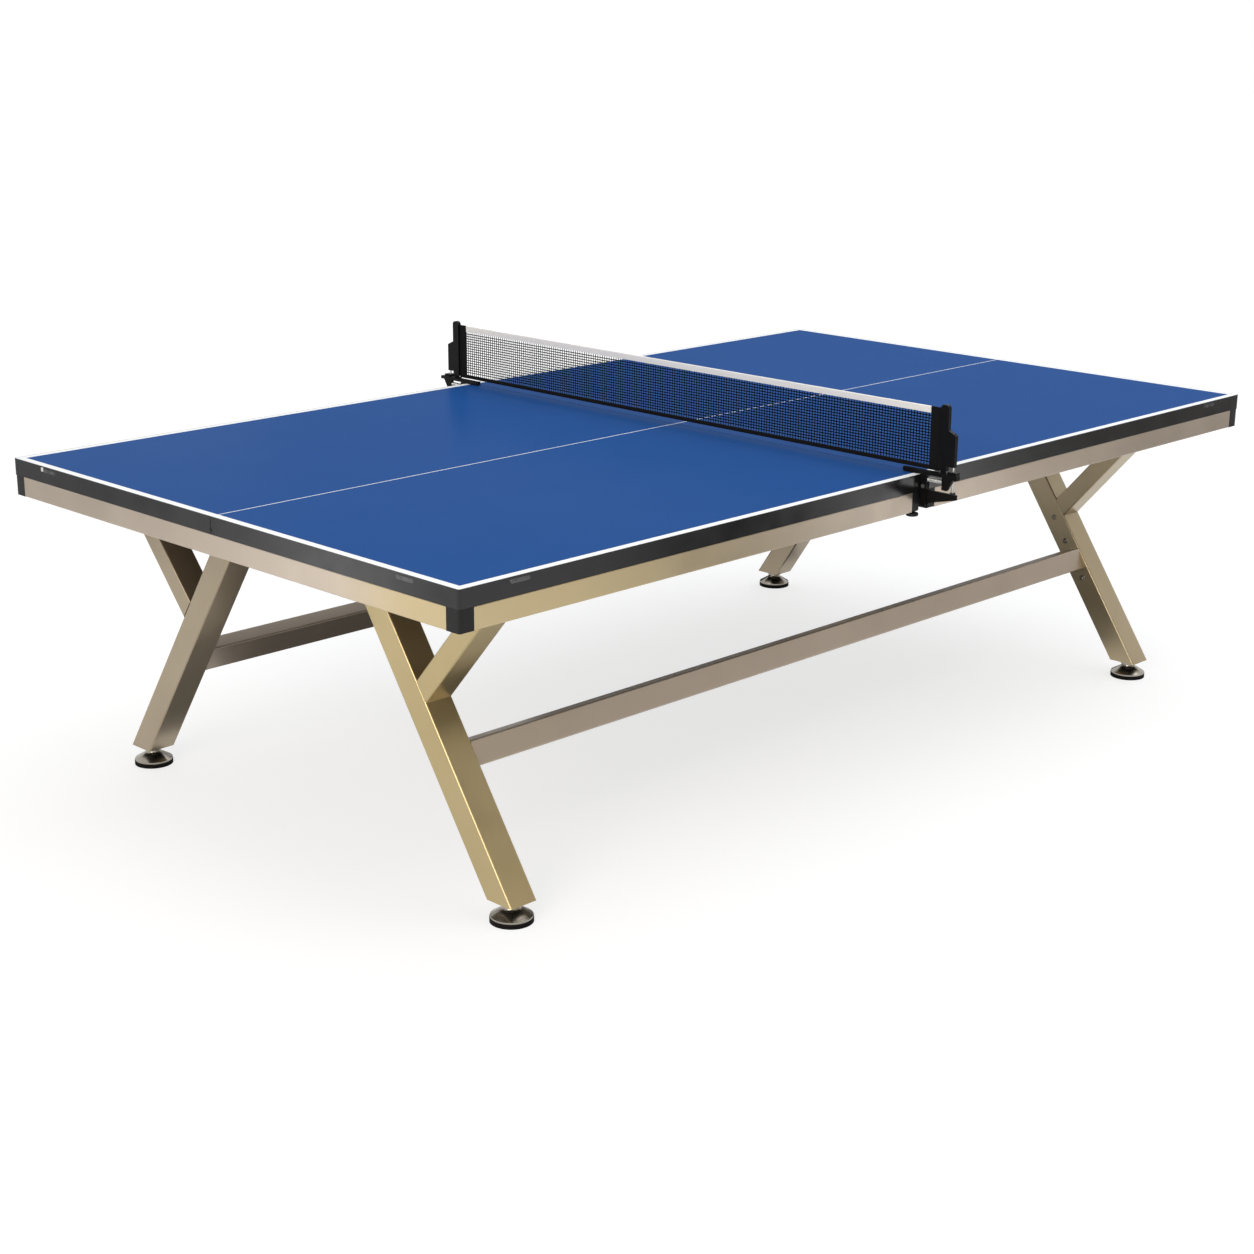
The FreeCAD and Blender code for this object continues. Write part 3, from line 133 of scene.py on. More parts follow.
def start_material(name, colour, roughness, metallic=0.0, **more):
    """A material with its Principled shader, and the object's own coordinates in metres."""
    material = bpy.data.materials.new(name)
    material.use_nodes = True
    material.diffuse_color = linear(colour)
    tree = material.node_tree
    shader = tree.nodes["Principled BSDF"]
    shader.inputs["Base Color"].default_value = linear(colour)
    shader.inputs["Roughness"].default_value = roughness
    shader.inputs["Metallic"].default_value = metallic
    for socket, value in more.items():
        shader.inputs[socket.replace("_", " ")].default_value = value
    place = add(tree, "ShaderNodeTexCoord").outputs["Object"]
    return material, tree, shader, place


def grain(tree, place, size_mm, detail=3.0):
    """Noise whose grains are about a size in millimetres."""
    return add(tree, "ShaderNodeTexNoise", {"Vector": place, "Scale": 1 / (size_mm * MM),
                                            "Detail": detail}).outputs["Fac"]


def spread(tree, value, low, high):
    """Maps the range in which nearly all of a noise lies to run between two numbers."""
    return add(tree, "ShaderNodeMapRange",
               {"Value": value, "From Min": NOISE_LOW, "From Max": NOISE_HIGH,
                "To Min": low, "To Max": high}).outputs["Result"]


def emboss(tree, shader, height, depth_mm):
    """Feeds a height into the shader's normal, as relief of a depth in millimetres."""
    bump = add(tree, "ShaderNodeBump", {"Height": height, "Distance": depth_mm * MM})
    tree.links.new(bump.outputs["Normal"], shader.inputs["Normal"])


def blend(tree, factor, first, second):
    """A colour between two, each of them an sRGB hex colour or another node's output."""
    colours = [linear(colour) if isinstance(colour, str) else colour for colour in (first, second)]
    return add(tree, "ShaderNodeMix", {"A": colours[0], "B": colours[1], "Factor": factor},
               data_type="RGBA").outputs["Result"]


def tint(tree, shader, value, dark, light):
    """Lets a value from 0 to 1 move the base colour between two sRGB colours."""
    colour = blend(tree, value, dark, light)
    tree.links.new(colour, shader.inputs["Base Color"])
    return colour


def seen_sharply(tree):
    """1 for the rays of the camera, of mirrors and of clear materials, 0 for scattered light."""
    path = add(tree, "ShaderNodeLightPath").outputs
    sharp = add(tree, "ShaderNodeMath", {0: path["Is Camera Ray"], 1: path["Is Glossy Ray"]},
                operation="MAXIMUM").outputs[0]
    return add(tree, "ShaderNodeMath", {0: sharp, 1: path["Is Transmission Ray"]},
               operation="MAXIMUM").outputs[0]


def finish(material, *names):
    """Gives a finish to CAD nodes, by the start of their names."""
    given = [node for name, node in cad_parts.items() if name.startswith(names)]
    for node in given:
        if not node.material_slots:
            node.data.materials.append(material)
        for slot in node.material_slots:
            slot.material = material
    print("%s: %d solids" % (material.name, len(given)))


# %% [markdown]
# ## Playing surface: matt polyurethane lacquer on board
# A table tennis top is a wood-based board with a rolled, matt lacquer.  The rules forbid glare, so
# the lacquer mirrors next to nothing from above and only a trace at a low angle: enough to see the
# posts and the net in it.  The lines are printed in white lacquer: 20 mm along all four edges and
# 3 mm down the middle.  They are drawn by position, so they stay sharp at any zoom.  Below the
# lacquer, the edges and the underside are the board itself, sealed with a brown stain.

# %% Playing surface
EDGE_LINE = 20 * MM
CENTRE_LINE = 3 * MM
LACQUER_DEPTH = 1 * MM


def line_mask(tree, place):
    """1 on the painted lines, 0 elsewhere."""
    axes_out = add(tree, "ShaderNodeSeparateXYZ", {"Vector": place}).outputs
    along = add(tree, "ShaderNodeMath", {0: axes_out["X"]}, operation="ABSOLUTE").outputs[0]
    across = add(tree, "ShaderNodeMath", {0: axes_out["Y"]}, operation="ABSOLUTE").outputs[0]
    end = add(tree, "ShaderNodeMath", {0: along, 1: HALF_LENGTH - EDGE_LINE},
              operation="GREATER_THAN").outputs[0]
    side = add(tree, "ShaderNodeMath", {0: across, 1: HALF_WIDTH - EDGE_LINE},
               operation="GREATER_THAN").outputs[0]
    middle = add(tree, "ShaderNodeMath", {0: across, 1: CENTRE_LINE / 2},
                 operation="LESS_THAN").outputs[0]
    edge = add(tree, "ShaderNodeMath", {0: end, 1: side}, operation="MAXIMUM").outputs[0]
    return add(tree, "ShaderNodeMath", {0: edge, 1: middle}, operation="MAXIMUM").outputs[0]


surface, tree, shader, place = start_material("matt_blue_lacquer", "#214E8E", 0.28,
                                              Specular_IOR_Level=0.0026)
mottle = grain(tree, place, 160)
blue = tint(tree, shader, mottle, "#1F4C8B", "#235091")
lined = blend(tree, line_mask(tree, place), blue, "#F2F5F8")
level = add(tree, "ShaderNodeSeparateXYZ", {"Vector": place}).outputs["Z"]
lacquered = add(tree, "ShaderNodeMath", {0: level, 1: SURFACE - LACQUER_DEPTH},
                operation="GREATER_THAN").outputs[0]
fibres = blend(tree, grain(tree, place, 7), "#4A3C30", "#5C4C3D")
tree.links.new(blend(tree, lacquered, fibres, lined), shader.inputs["Base Color"])
emboss(tree, shader, grain(tree, place, 1.6), 0.02)
finish(surface, "board")

# %% [markdown]
# ## Aprons: powder-coated sheet steel
# The apron is rolled sheet with a charcoal powder coat.  Powder flows out in the oven to a satin
# skin with a very slight orange peel, which blurs reflections along the long faces.

# %% Aprons
apron, tree, shader, place = start_material("charcoal_powder_coat", "#18181A", 0.3,
                                            Specular_IOR_Level=0.42)
tint(tree, shader, grain(tree, place, 300), "#151516", "#1C1C1E")
tree.links.new(spread(tree, grain(tree, place, 60), 0.2, 0.26), shader.inputs["Roughness"])
emboss(tree, shader, grain(tree, place, 2.2), 0.01)
finish(apron, "apron_near", "apron_far")

# %% [markdown]
# ## Frame and legs: champagne metallic enamel
# The tubes are steel with a metallic enamel the colour of champagne.  Aluminium flake in the
# enamel makes it behave like a satin metal: wide soft highlights and a warm, slightly cloudy tone.
# Light is painted into the colour here.  The near right leg and the rails at its corner are painted
# golden for the warm light that falls on that corner, the far right leg darker for shade, and the
# left-hand legs greyer and darker for shade.

# %% Frame and legs
# Painted warm light: the size of the golden patch round the near right corner of the rails.
WARM_LIGHT_STRETCH = (1, 3, 1)
WARM_LIGHT_FULL = 0.3
WARM_LIGHT_GONE = 1.2


def metallic_enamel(name, colour, dark, light):
    """Satin metallic enamel with a cloudy tone and the slight waviness of drawn tube."""
    material, tree, shader, place = start_material(name, colour, 0.34, metallic=0.78)
    clouds = tint(tree, shader, grain(tree, place, 220), dark, light)
    tree.links.new(spread(tree, grain(tree, place, 90), 0.285, 0.35), shader.inputs["Roughness"])
    emboss(tree, shader, grain(tree, place, 45, detail=1.0), 0.03)
    return material, tree, shader, place, clouds


rail_enamel, tree, shader, place, clouds = metallic_enamel("champagne_metallic_enamel", "#BCAFA0",
                                                           "#B4A697", "#C4B8A9")
# Painted warm light: the base colour turns golden near the near right corner and fades further
# away.
corner = Vector((-HALF_LENGTH, -HALF_WIDTH, SURFACE))
offset = add(tree, "ShaderNodeVectorMath", {0: place, 1: corner}, operation="SUBTRACT")
stretched = add(tree, "ShaderNodeVectorMath", {0: offset.outputs["Vector"], 1: WARM_LIGHT_STRETCH},
                operation="MULTIPLY")
reach = add(tree, "ShaderNodeVectorMath", {0: stretched.outputs["Vector"]}, operation="LENGTH")
painted_warm_light = add(tree, "ShaderNodeMapRange",
             {"Value": reach.outputs["Value"], "From Min": WARM_LIGHT_FULL, "From Max": WARM_LIGHT_GONE,
              "To Min": 1.0, "To Max": 0.0},
             interpolation_type="SMOOTHSTEP").outputs["Result"]
tree.links.new(blend(tree, painted_warm_light, clouds, "#C9B78F"), shader.inputs["Base Color"])
finish(rail_enamel, "side_rail", "end_rail", "stretcher", "centre_rail", "leg_beam")

# Lit and shaded copies of one enamel: golden for painted warm light on the near right leg, darker
# for painted shade on the far right leg, greyer and darker for painted shade on the left-hand legs.
warm_lit_enamel = metallic_enamel("warm_lit_metallic_enamel", "#BCAA80", "#B3A176", "#C5B38A")[0]
finish(warm_lit_enamel, "leg_near_right", "brace_near_right")
shaded_enamel = metallic_enamel("shaded_metallic_enamel", "#AFA083", "#A59678", "#B9AA8E")[0]
finish(shaded_enamel, "leg_far_right", "brace_far_right")
grey_shaded_enamel = metallic_enamel("grey_shaded_metallic_enamel", "#A89A83", "#9F917A", "#B0A28C")[0]
finish(grey_shaded_enamel, "leg_near_left", "leg_far_left", "brace_near_left", "brace_far_left")

# %% [markdown]
# ## Black parts: moulded ABS, enamelled castings and rubber
# Caps, plugs and knobs are injection-moulded ABS with a fine spark-eroded grain.  The clamps and
# the posts are enamelled black.  Pads and soles are plain rubber.

# %% Black parts
moulded, tree, shader, place = start_material("moulded_black_abs", "#131314", 0.5,
                                              Specular_IOR_Level=0.28)
emboss(tree, shader, grain(tree, place, 1.1), 0.05)
tree.links.new(spread(tree, grain(tree, place, 14), 0.44, 0.56), shader.inputs["Roughness"])
finish(moulded, "corner_cap", "rail_end_caps", "frame_knob", "height_knob")

enamel, tree, shader, place = start_material("black_stove_enamel", "#0D0D0E", 0.38,
                                             Specular_IOR_Level=0.12)
emboss(tree, shader, grain(tree, place, 2.0), 0.04)
tree.links.new(spread(tree, grain(tree, place, 18), 0.36, 0.5), shader.inputs["Roughness"])
finish(enamel, "clamp_bracket", "clamp_lever", "net_post")

rubber, tree, shader, place = start_material("black_rubber", "#101010", 0.82,
                                             Specular_IOR_Level=0.15)
emboss(tree, shader, grain(tree, place, 1.4), 0.08)
tint(tree, shader, grain(tree, place, 25), "#0C0C0C", "#161515")
finish(rubber, "foot_pad", "clamp_pads")

# %% [markdown]
# ## Steel: turned, drawn and blackened
# The foot bells are turned and half polished, so rings of tool marks still run round them.  The
# height screws and the clamp rivets are bright drawn steel.  The plates at the leg ends are
# blackened, and the bolts on the inner faces of the legs are zinc plated.

# %% Steel parts
turned_steel, tree, shader, place = start_material("turned_steel", "#9C968C", 0.26,
                                               metallic=1.0)
rings = add(tree, "ShaderNodeTexWave", {"Vector": place, "Scale": 1 / (9 * MM), "Distortion": 0.3},
            wave_type="BANDS", bands_direction="Z")
tree.links.new(spread(tree, rings.outputs["Fac"], 0.22, 0.27), shader.inputs["Roughness"])
tint(tree, shader, grain(tree, place, 22), "#8F897F", "#A9A399")
finish(turned_steel, "foot_stud")

bright, tree, shader, place = start_material("bright_drawn_steel", "#C4C4C2", 0.28, metallic=1.0)
thread = add(tree, "ShaderNodeTexWave", {"Vector": place, "Scale": 1 / (8 * MM)},
             wave_type="BANDS", bands_direction="Z")
emboss(tree, shader, thread.outputs["Fac"], 0.25)
tint(tree, shader, grain(tree, place, 5), "#B4B4B2", "#D2D2D0")
finish(bright, "height_screw", "clamp_pins")

blackened, tree, shader, place = start_material("blackened_steel", "#2A2A2C", 0.42, metallic=1.0)
tint(tree, shader, grain(tree, place, 4), "#222224", "#38383A")
finish(blackened, "leg_end_plates")

satin_steel, tree, shader, place = start_material("satin_zinc_steel", "#8D877C", 0.3, metallic=1.0)
tint(tree, shader, grain(tree, place, 4), "#7F796F", "#9B958A")

# %% [markdown]
# ## Mesh helpers
# Small parts are turned or swept.  A turned part is a profile of radius and height carried round an
# axis; a swept part is a closed cross-section pulled along a straight line.  Both are written once.

# %% Mesh helpers
def new_piece(name, mesh, material, body):
    """Links a mesh as a piece of the table that rides on a body and has a finish."""
    piece = bpy.data.objects.new(name, mesh)
    scene.collection.objects.link(piece)
    mesh.materials.append(material)
    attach(piece, body)
    return piece


def smooth_by_angle(mesh, degrees=32):
    """Smooth shading that keeps edges sharper than an angle crisp."""
    mesh.polygons.foreach_set("use_smooth", [True] * len(mesh.polygons))
    work = bmesh.new()
    work.from_mesh(mesh)
    for edge in work.edges:
        if len(edge.link_faces) == 2:
            edge.smooth = edge.calc_face_angle(0) < math.radians(degrees)
    work.to_mesh(mesh)
    work.free()


def turned(work, profile, origin, axis, steps):
    """Adds to a bmesh a profile of (radius, height) pairs turned about an axis."""
    turn = Vector((0, 0, 1)).rotation_difference(axis).to_matrix()
    rings = []
    for radius, height in profile:
        if radius == 0:
            rings.append([work.verts.new(origin + turn @ Vector((0, 0, height)))] * steps)
            continue
        ring = []
        for i in range(steps):
            angle = 2 * math.pi * i / steps
            point = Vector((radius * math.cos(angle), radius * math.sin(angle), height))
            ring.append(work.verts.new(origin + turn @ point))
        rings.append(ring)
    for low, high in zip(rings, rings[1:]):
        for i in range(steps):
            corners = [low[i], low[(i + 1) % steps], high[(i + 1) % steps], high[i]]
            unique = list(dict.fromkeys(corners))
            if len(unique) > 2:
                work.faces.new(unique)


def swept(work, section, start, end, up):
    """Adds a closed section of (across, up) pairs pulled from one point to another, with ends."""
    along = (end - start).normalized()
    across = along.cross(up).normalized()
    rings = []
    for point in (start, end):
        rings.append([work.verts.new(point + across * a + up * b) for a, b in section])
    count = len(section)
    for i in range(count):
        following = (i + 1) % count
        work.faces.new([rings[0][i], rings[0][following], rings[1][following], rings[1][i]])
    work.faces.new(rings[0][::-1])
    work.faces.new(rings[1])


def mesh_of(work, name, smooth=True):
    """Turns a bmesh into a mesh with outward faces."""
    bmesh.ops.recalc_face_normals(work, faces=work.faces[:])
    mesh = bpy.data.meshes.new(name)
    work.to_mesh(mesh)
    work.free()
    if smooth:
        smooth_by_angle(mesh)
    return mesh


def rounded_section(width, height, radius, steps=4):
    """A rounded rectangle as (across, up) pairs, centred on zero."""
    section = []
    corners = ((1, 1, 0), (-1, 1, 90), (-1, -1, 180), (1, -1, 270))
    for sign_across, sign_up, start in corners:
        for i in range(steps + 1):
            angle = math.radians(start + 90 * i / steps)
            section.append((sign_across * (width / 2 - radius) + radius * math.cos(angle),
                            sign_up * (height / 2 - radius) + radius * math.sin(angle)))
    return section


# %% [markdown]
# ## Netting
# A table tennis net is knitted from black cord, with openings of less than a centimetre.  From a
# few metres away the cords cover rather more than half of what lies behind, so they are modelled as
# real strands, with a small knot where they cross.  Strands cast true shadows and look right from
# the back and from above, which a picture of a net on a flat sheet doesn't.

# %% Cord and cloth finishes
cord_finish, tree, shader, place = start_material("black_polyester_cord", "#050608", 0.9,
                                                  Specular_IOR_Level=0.03)
braid = add(tree, "ShaderNodeTexWave", {"Vector": place, "Scale": 1 / (6 * MM), "Distortion": 1.5},
            wave_type="BANDS", bands_direction="DIAGONAL")
emboss(tree, shader, braid.outputs["Fac"], 0.2)
tint(tree, shader, grain(tree, place, 3), "#030406", "#08090C")

RIDGE_SCALE = 6.28


def woven(tree, place, thread_mm):
    """Height of a plain weave: two sets of ridges at right angles, a ridge to every two threads."""
    scale = 1 / (RIDGE_SCALE * thread_mm * MM)
    ridges = [add(tree, "ShaderNodeTexWave", {"Vector": place, "Scale": scale},
                  wave_type="BANDS", bands_direction=direction).outputs["Fac"]
              for direction in ("Y", "Z")]
    return add(tree, "ShaderNodeMath", {0: ridges[0], 1: ridges[1]},
               operation="MULTIPLY").outputs[0]


webbing, tree, shader, place = start_material("black_nylon_webbing", "#0B0B0C", 0.85,
                                              Specular_IOR_Level=0.15)
emboss(tree, shader, woven(tree, place, 1.2), 0.25)
tint(tree, shader, grain(tree, place, 9), "#08080A", "#101012")

white_tape, tree, shader, place = start_material("white_woven_tape", "#FEFDF8", 0.8,
                                                 Sheen_Weight=0.15)
emboss(tree, shader, woven(tree, place, 1.0), 0.2)
tint(tree, shader, grain(tree, place, 60), "#FBFAF5", "#FFFEFA")

# %% Net strands
OPENING_ACROSS = 8.1 * MM
ROWS = 18
CORD_WIDTH = 2.5 * MM
CORD_DEPTH = 1.3 * MM
KNOT = 2.0 * MM
BAND_HEIGHT = 10 * MM
SLEEVE_WIDTH = 28 * MM
SLEEVE_LAP = 2 * MM
TAPE_LAP = 4 * MM
NET_BODY = "net_set"
KNOT_POINTS = ((KNOT / 2, 0, 0), (0, KNOT, 0), (0, 0, KNOT),
               (-KNOT / 2, 0, 0), (0, -KNOT, 0), (0, 0, -KNOT))
KNOT_FACES = ((0, 1, 2), (0, 2, 4), (0, 4, 5), (0, 5, 1),
              (3, 2, 1), (3, 4, 2), (3, 5, 4), (3, 1, 5))

mesh_half = net_high.y - SLEEVE_WIDTH + SLEEVE_LAP
mesh_bottom = net_low.z + BAND_HEIGHT / 2
mesh_top = tape_low.z + TAPE_LAP
row_step = (tape_low.z - (net_low.z + BAND_HEIGHT)) / ROWS
columns = round(2 * mesh_half / OPENING_ACROSS)
column_step = 2 * mesh_half / columns
UP = Vector((0, 0, 1))
cord_section = [(-CORD_DEPTH / 2, -CORD_WIDTH / 4), (0, -CORD_WIDTH / 2),
                (CORD_DEPTH / 2, -CORD_WIDTH / 4), (CORD_DEPTH / 2, CORD_WIDTH / 4),
                (0, CORD_WIDTH / 2), (-CORD_DEPTH / 2, CORD_WIDTH / 4)]
upright_section = [(b, a) for a, b in cord_section]

work = bmesh.new()
for column in range(1, columns):
    y = -mesh_half + column * column_step
    swept(work, upright_section, Vector((0, y, mesh_bottom)), Vector((0, y, mesh_top)),
          Vector((1, 0, 0)))
row_levels = [net_low.z + BAND_HEIGHT + row * row_step for row in range(1, ROWS)]
for z in row_levels:
    swept(work, cord_section, Vector((0, -mesh_half, z)), Vector((0, mesh_half, z)), UP)
for column in range(1, columns):
    for z in row_levels:
        centre = Vector((0, -mesh_half + column * column_step, z))
        points = [work.verts.new(centre + Vector(point)) for point in KNOT_POINTS]
        for corners in KNOT_FACES:
            work.faces.new([points[i] for i in corners])
cord_area = sum(face.calc_area() for face in work.faces) / 2
netting = new_piece("netting", mesh_of(work, "netting", smooth=False), cord_finish, NET_BODY)
print("%d by %d openings, cord area %.3f m2" % (columns, ROWS, cord_area))

# %% [markdown]
# ## Sleeves, lower band and tape
# The netting is sewn to a black webbing sleeve at each post, to a band with a cord in it below and
# to a folded white tape above.  The tape is one strip folded over the cord: two thin leaves with a
# round fold on top.  Each is a closed, thin, slightly rounded piece.

# %% Sleeves, band and tape
BAND_THICK = 3.4 * MM
SLEEVE_THICK = 2.6 * MM
SLEEVE_ROUND = 0.45
BAND_ROUND = 0.48
LEAF = 0.7 * MM
FOLD_STEPS = 12

for side, sy in SIDES:
    work = bmesh.new()
    middle_y = sy * (net_high.y - SLEEVE_WIDTH / 2)
    section = rounded_section(SLEEVE_THICK, SLEEVE_WIDTH, SLEEVE_THICK * SLEEVE_ROUND)
    swept(work, section, Vector((0, middle_y, net_low.z)), Vector((0, middle_y, net_high.z)),
          Vector((0, 1, 0)))
    sleeve = new_piece("net_sleeve_" + side, mesh_of(work, "net_sleeve_" + side), webbing,
                       NET_BODY)

work = bmesh.new()
band_z = net_low.z + BAND_HEIGHT / 2
swept(work, rounded_section(BAND_THICK, BAND_HEIGHT, BAND_THICK * BAND_ROUND),
      Vector((0, -mesh_half, band_z)), Vector((0, mesh_half, band_z)), UP)
band = new_piece("net_lower_band", mesh_of(work, "net_lower_band"), webbing, NET_BODY)

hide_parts("net")

tape_thick = tape_high.x - tape_low.x
tape_drop = tape_high.z - tape_low.z
outside = tape_thick / 2
inside = outside - LEAF
fold_centre = tape_drop - outside


def fold(radius):
    """The round top of one side of the tape, from the +X leaf over to the -X leaf."""
    angles = (math.pi * i / FOLD_STEPS for i in range(FOLD_STEPS + 1))
    return [(radius * math.cos(angle), fold_centre + radius * math.sin(angle)) for angle in angles]


tape_section = ([(outside, 0)] + fold(outside) + [(-outside, 0), (-inside, 0)]
                + fold(inside)[::-1] + [(inside, 0)])
work = bmesh.new()
swept(work, tape_section, Vector((0, tape_low.y, tape_low.z)),
      Vector((0, tape_high.y, tape_low.z)), UP)
tape = new_piece("folded_tape", mesh_of(work, "folded_tape"), white_tape, NET_BODY)
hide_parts("net_tape")
print("tape %.3f m long" % (tape_high.y - tape_low.y))

# %% [markdown]
# ## Clamp springs
# Each clamp has a closely wound compression spring.  A helix is a curve with a round bevel, the
# same way that a spring is wound from wire.

# %% Clamp springs
WIRE = 1.2 * MM
COILS = 26
POINTS_PER_COIL = 16
SPRING_LENGTH = 40 * MM

spring_steel, tree, shader, place = start_material("bright_spring_wire", "#D2D2CF", 0.22,
                                                   metallic=1.0)
tint(tree, shader, grain(tree, place, 4), "#C2C2BF", "#DEDEDB")

spring_low, spring_high = (Vector(corner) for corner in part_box("clamp_springs"))
radius = (spring_high.x - spring_low.x) / 2 - WIRE / 2
centre_x = (spring_high.x + spring_low.x) / 2
centre_z = (spring_high.z + spring_low.z) / 2
outer_end = spring_high.y - WIRE / 2
inner_end = spring_high.y - SPRING_LENGTH + WIRE / 2
steps = COILS * POINTS_PER_COIL
for side, sy in SIDES:
    curve = bpy.data.curves.new("clamp_spring_" + side, "CURVE")
    curve.dimensions = "3D"
    curve.bevel_depth = WIRE / 2
    curve.bevel_resolution = 3
    spline = curve.splines.new("NURBS")
    spline.points.add(steps)
    for i in range(steps + 1):
        share = i / steps
        angle = 2 * math.pi * COILS * share
        y = inner_end + (outer_end - inner_end) * share
        spline.points[i].co = (centre_x + radius * math.cos(angle), sy * y,
                               centre_z + radius * math.sin(angle), 1)
    spline.order_u = 3
    spline.use_endpoint_u = True
    curve.materials.append(spring_steel)
    spring = bpy.data.objects.new("clamp_spring_" + side, curve)
    scene.collection.objects.link(spring)
    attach(spring, "table")
    if side == "left":
        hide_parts("clamp_springs")
print("springs of %d coils" % COILS)

# %% [markdown]
# ## Bolts and screws
# The bolts that join each leg to its stretcher and brace have low button heads with a hexagon
# socket, each on a washer.  The screw under each end seam has the same head, smaller.  The heads
# are turned and the socket is a sunk hexagon, so they catch the light as real ones do.  The levels
# and the lean of the leg repeat those of the solids.

# %% Bolts and screws
HEAD_STEPS = 24
FLAT_SHARE = 0.66
HEAD_PROFILE = ((1, 0), (1, 0.25), (0.93, 0.62), (0.78, 0.9), (FLAT_SHARE, 1))
WASHER_PROFILE = ((1, 0), (1, 0.7), (0.94, 1), (0, 1))
SOCKET_FLOOR = 0.35


def button_head(work, origin, axis, radius, height, socket):
    """A low domed head with a sunk hexagon, standing on origin along axis."""
    turn = Vector((0, 0, 1)).rotation_difference(axis).to_matrix()
    flat = radius * FLAT_SHARE
    profile = [(radius * out, height * level) for out, level in HEAD_PROFILE]
    turned(work, profile, origin, axis, HEAD_STEPS)
    rim, hexagon, floor = [], [], []
    for i in range(HEAD_STEPS):
        angle = 2 * math.pi * i / HEAD_STEPS
        from_middle = angle % (math.pi / 3) - math.pi / 6
        reach = socket * math.cos(math.pi / 6) / math.cos(from_middle)
        for ring, out, level in ((rim, flat, height), (hexagon, reach, height),
                                 (floor, reach, height * SOCKET_FLOOR)):
            point = Vector((out * math.cos(angle), out * math.sin(angle), level))
            ring.append(work.verts.new(origin + turn @ point))
    for i in range(HEAD_STEPS):
        following = (i + 1) % HEAD_STEPS
        work.faces.new([rim[i], rim[following], hexagon[following], hexagon[i]])
        work.faces.new([hexagon[i], hexagon[following], floor[following], floor[i]])
    work.faces.new(floor)


LEG_INNER_FACE = Vector(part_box("leg_far_left")[0]).x
BOLT_RADIUS = 5 * MM
BOLT_HEAD = 3 * MM
BOLT_SOCKET = 2.4 * MM
WASHER_RADIUS = 8 * MM
WASHER = 1 * MM
SCREW_SOCKET = 0.4
LEG_SLOPE = math.tan(math.radians(34))
FOOT_REACH = 634 * MM
FOOT_HEIGHT = 45 * MM
BOLT_LEVELS = (254 * MM, 346 * MM, 405 * MM)

washer = [(WASHER_RADIUS * out, WASHER * level) for out, level in WASHER_PROFILE]
work = bmesh.new()
for sx in NEAR_AND_FAR:
    for _, sy in SIDES:
        for z in BOLT_LEVELS:
            y = FOOT_REACH - (z - FOOT_HEIGHT) * LEG_SLOPE
            seat_point = Vector((sx * LEG_INNER_FACE, sy * y, z))
            inward = Vector((-sx, 0, 0))
            turned(work, washer, seat_point, inward, HEAD_STEPS)
            button_head(work, seat_point + inward * WASHER, inward, BOLT_RADIUS, BOLT_HEAD,
                        BOLT_SOCKET)
bolts = new_piece("leg_bolt_heads", mesh_of(work, "leg_bolt_heads"), satin_steel, "table")
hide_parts("leg_bolts")

screw_low, screw_high = (Vector(corner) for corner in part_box("apron_seam_screws"))
screw_radius = (screw_high.y - screw_low.y) / 2
screw_level = (screw_high.z + screw_low.z) / 2
work = bmesh.new()
for sx in NEAR_AND_FAR:
    button_head(work, Vector((sx * HALF_LENGTH, 0, screw_level)), Vector((sx, 0, 0)),
                screw_radius, screw_high.x - HALF_LENGTH, screw_radius * SCREW_SOCKET)
seam_screws = new_piece("seam_screw_heads", mesh_of(work, "seam_screw_heads"), blackened, "table")
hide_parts("apron_seam_screws")
print("12 leg bolts, 2 seam screws")

# %% [markdown]
# ## Apron clips
# Flat spring-steel clips hold the apron to the board.  Each is pressed from strip: a plate with
# rounded ends and two raised pips, where the press has pushed the metal into the apron.  The small
# square white piece beside the clip at the near left corner is a painted highlight, for the glint
# off that clip's end.

# %% Apron clips
clip_finish, tree, shader, place = start_material("browned_spring_steel", "#5A5A5B", 0.26,
                                                  metallic=0.9)
tint(tree, shader, grain(tree, place, 12), "#4E4E50", "#666668")

CLIP_LENGTH = 50 * MM
CLIP_HEIGHT = 9 * MM
CLIP_INSET = 150 * MM
CLIP_ROUND = 0.45
PLATE_SHARE = 0.55
PLATE_TOP_ALONG = 0.985
PLATE_TOP_UP = 0.93
PIP_BASE = 0.5
PIP_RADIUS = CLIP_HEIGHT * 0.42
PIP_PLACE = CLIP_LENGTH * 0.26
clip_low, clip_high = (Vector(corner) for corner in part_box("apron_clips"))
clip_level = (clip_high.z + clip_low.z) / 2
clip_proud = clip_high.x - HALF_LENGTH


def clip(work, centre, along, outward):
    """One pressed clip: a thin plate and two shallow domes."""
    section = rounded_section(CLIP_LENGTH, CLIP_HEIGHT, CLIP_HEIGHT * CLIP_ROUND)
    bottom = [work.verts.new(centre + along * a + UP * b) for a, b in section]
    lift = outward * clip_proud * PLATE_SHARE
    top = [work.verts.new(centre + along * a * PLATE_TOP_ALONG + UP * b * PLATE_TOP_UP + lift)
           for a, b in section]
    for i in range(len(section)):
        following = (i + 1) % len(section)
        work.faces.new([bottom[i], bottom[following], top[following], top[i]])
    work.faces.new(top)
    angles = [math.radians(degrees) for degrees in range(0, 90, 15)]
    dome = [(PIP_RADIUS * math.cos(angle),
             clip_proud * (PIP_BASE + (1 - PIP_BASE) * math.sin(angle))) for angle in angles]
    dome.append((0, clip_proud))
    for step in (-1, 1):
        turned(work, dome, centre + along * step * PIP_PLACE, outward, HEAD_STEPS)


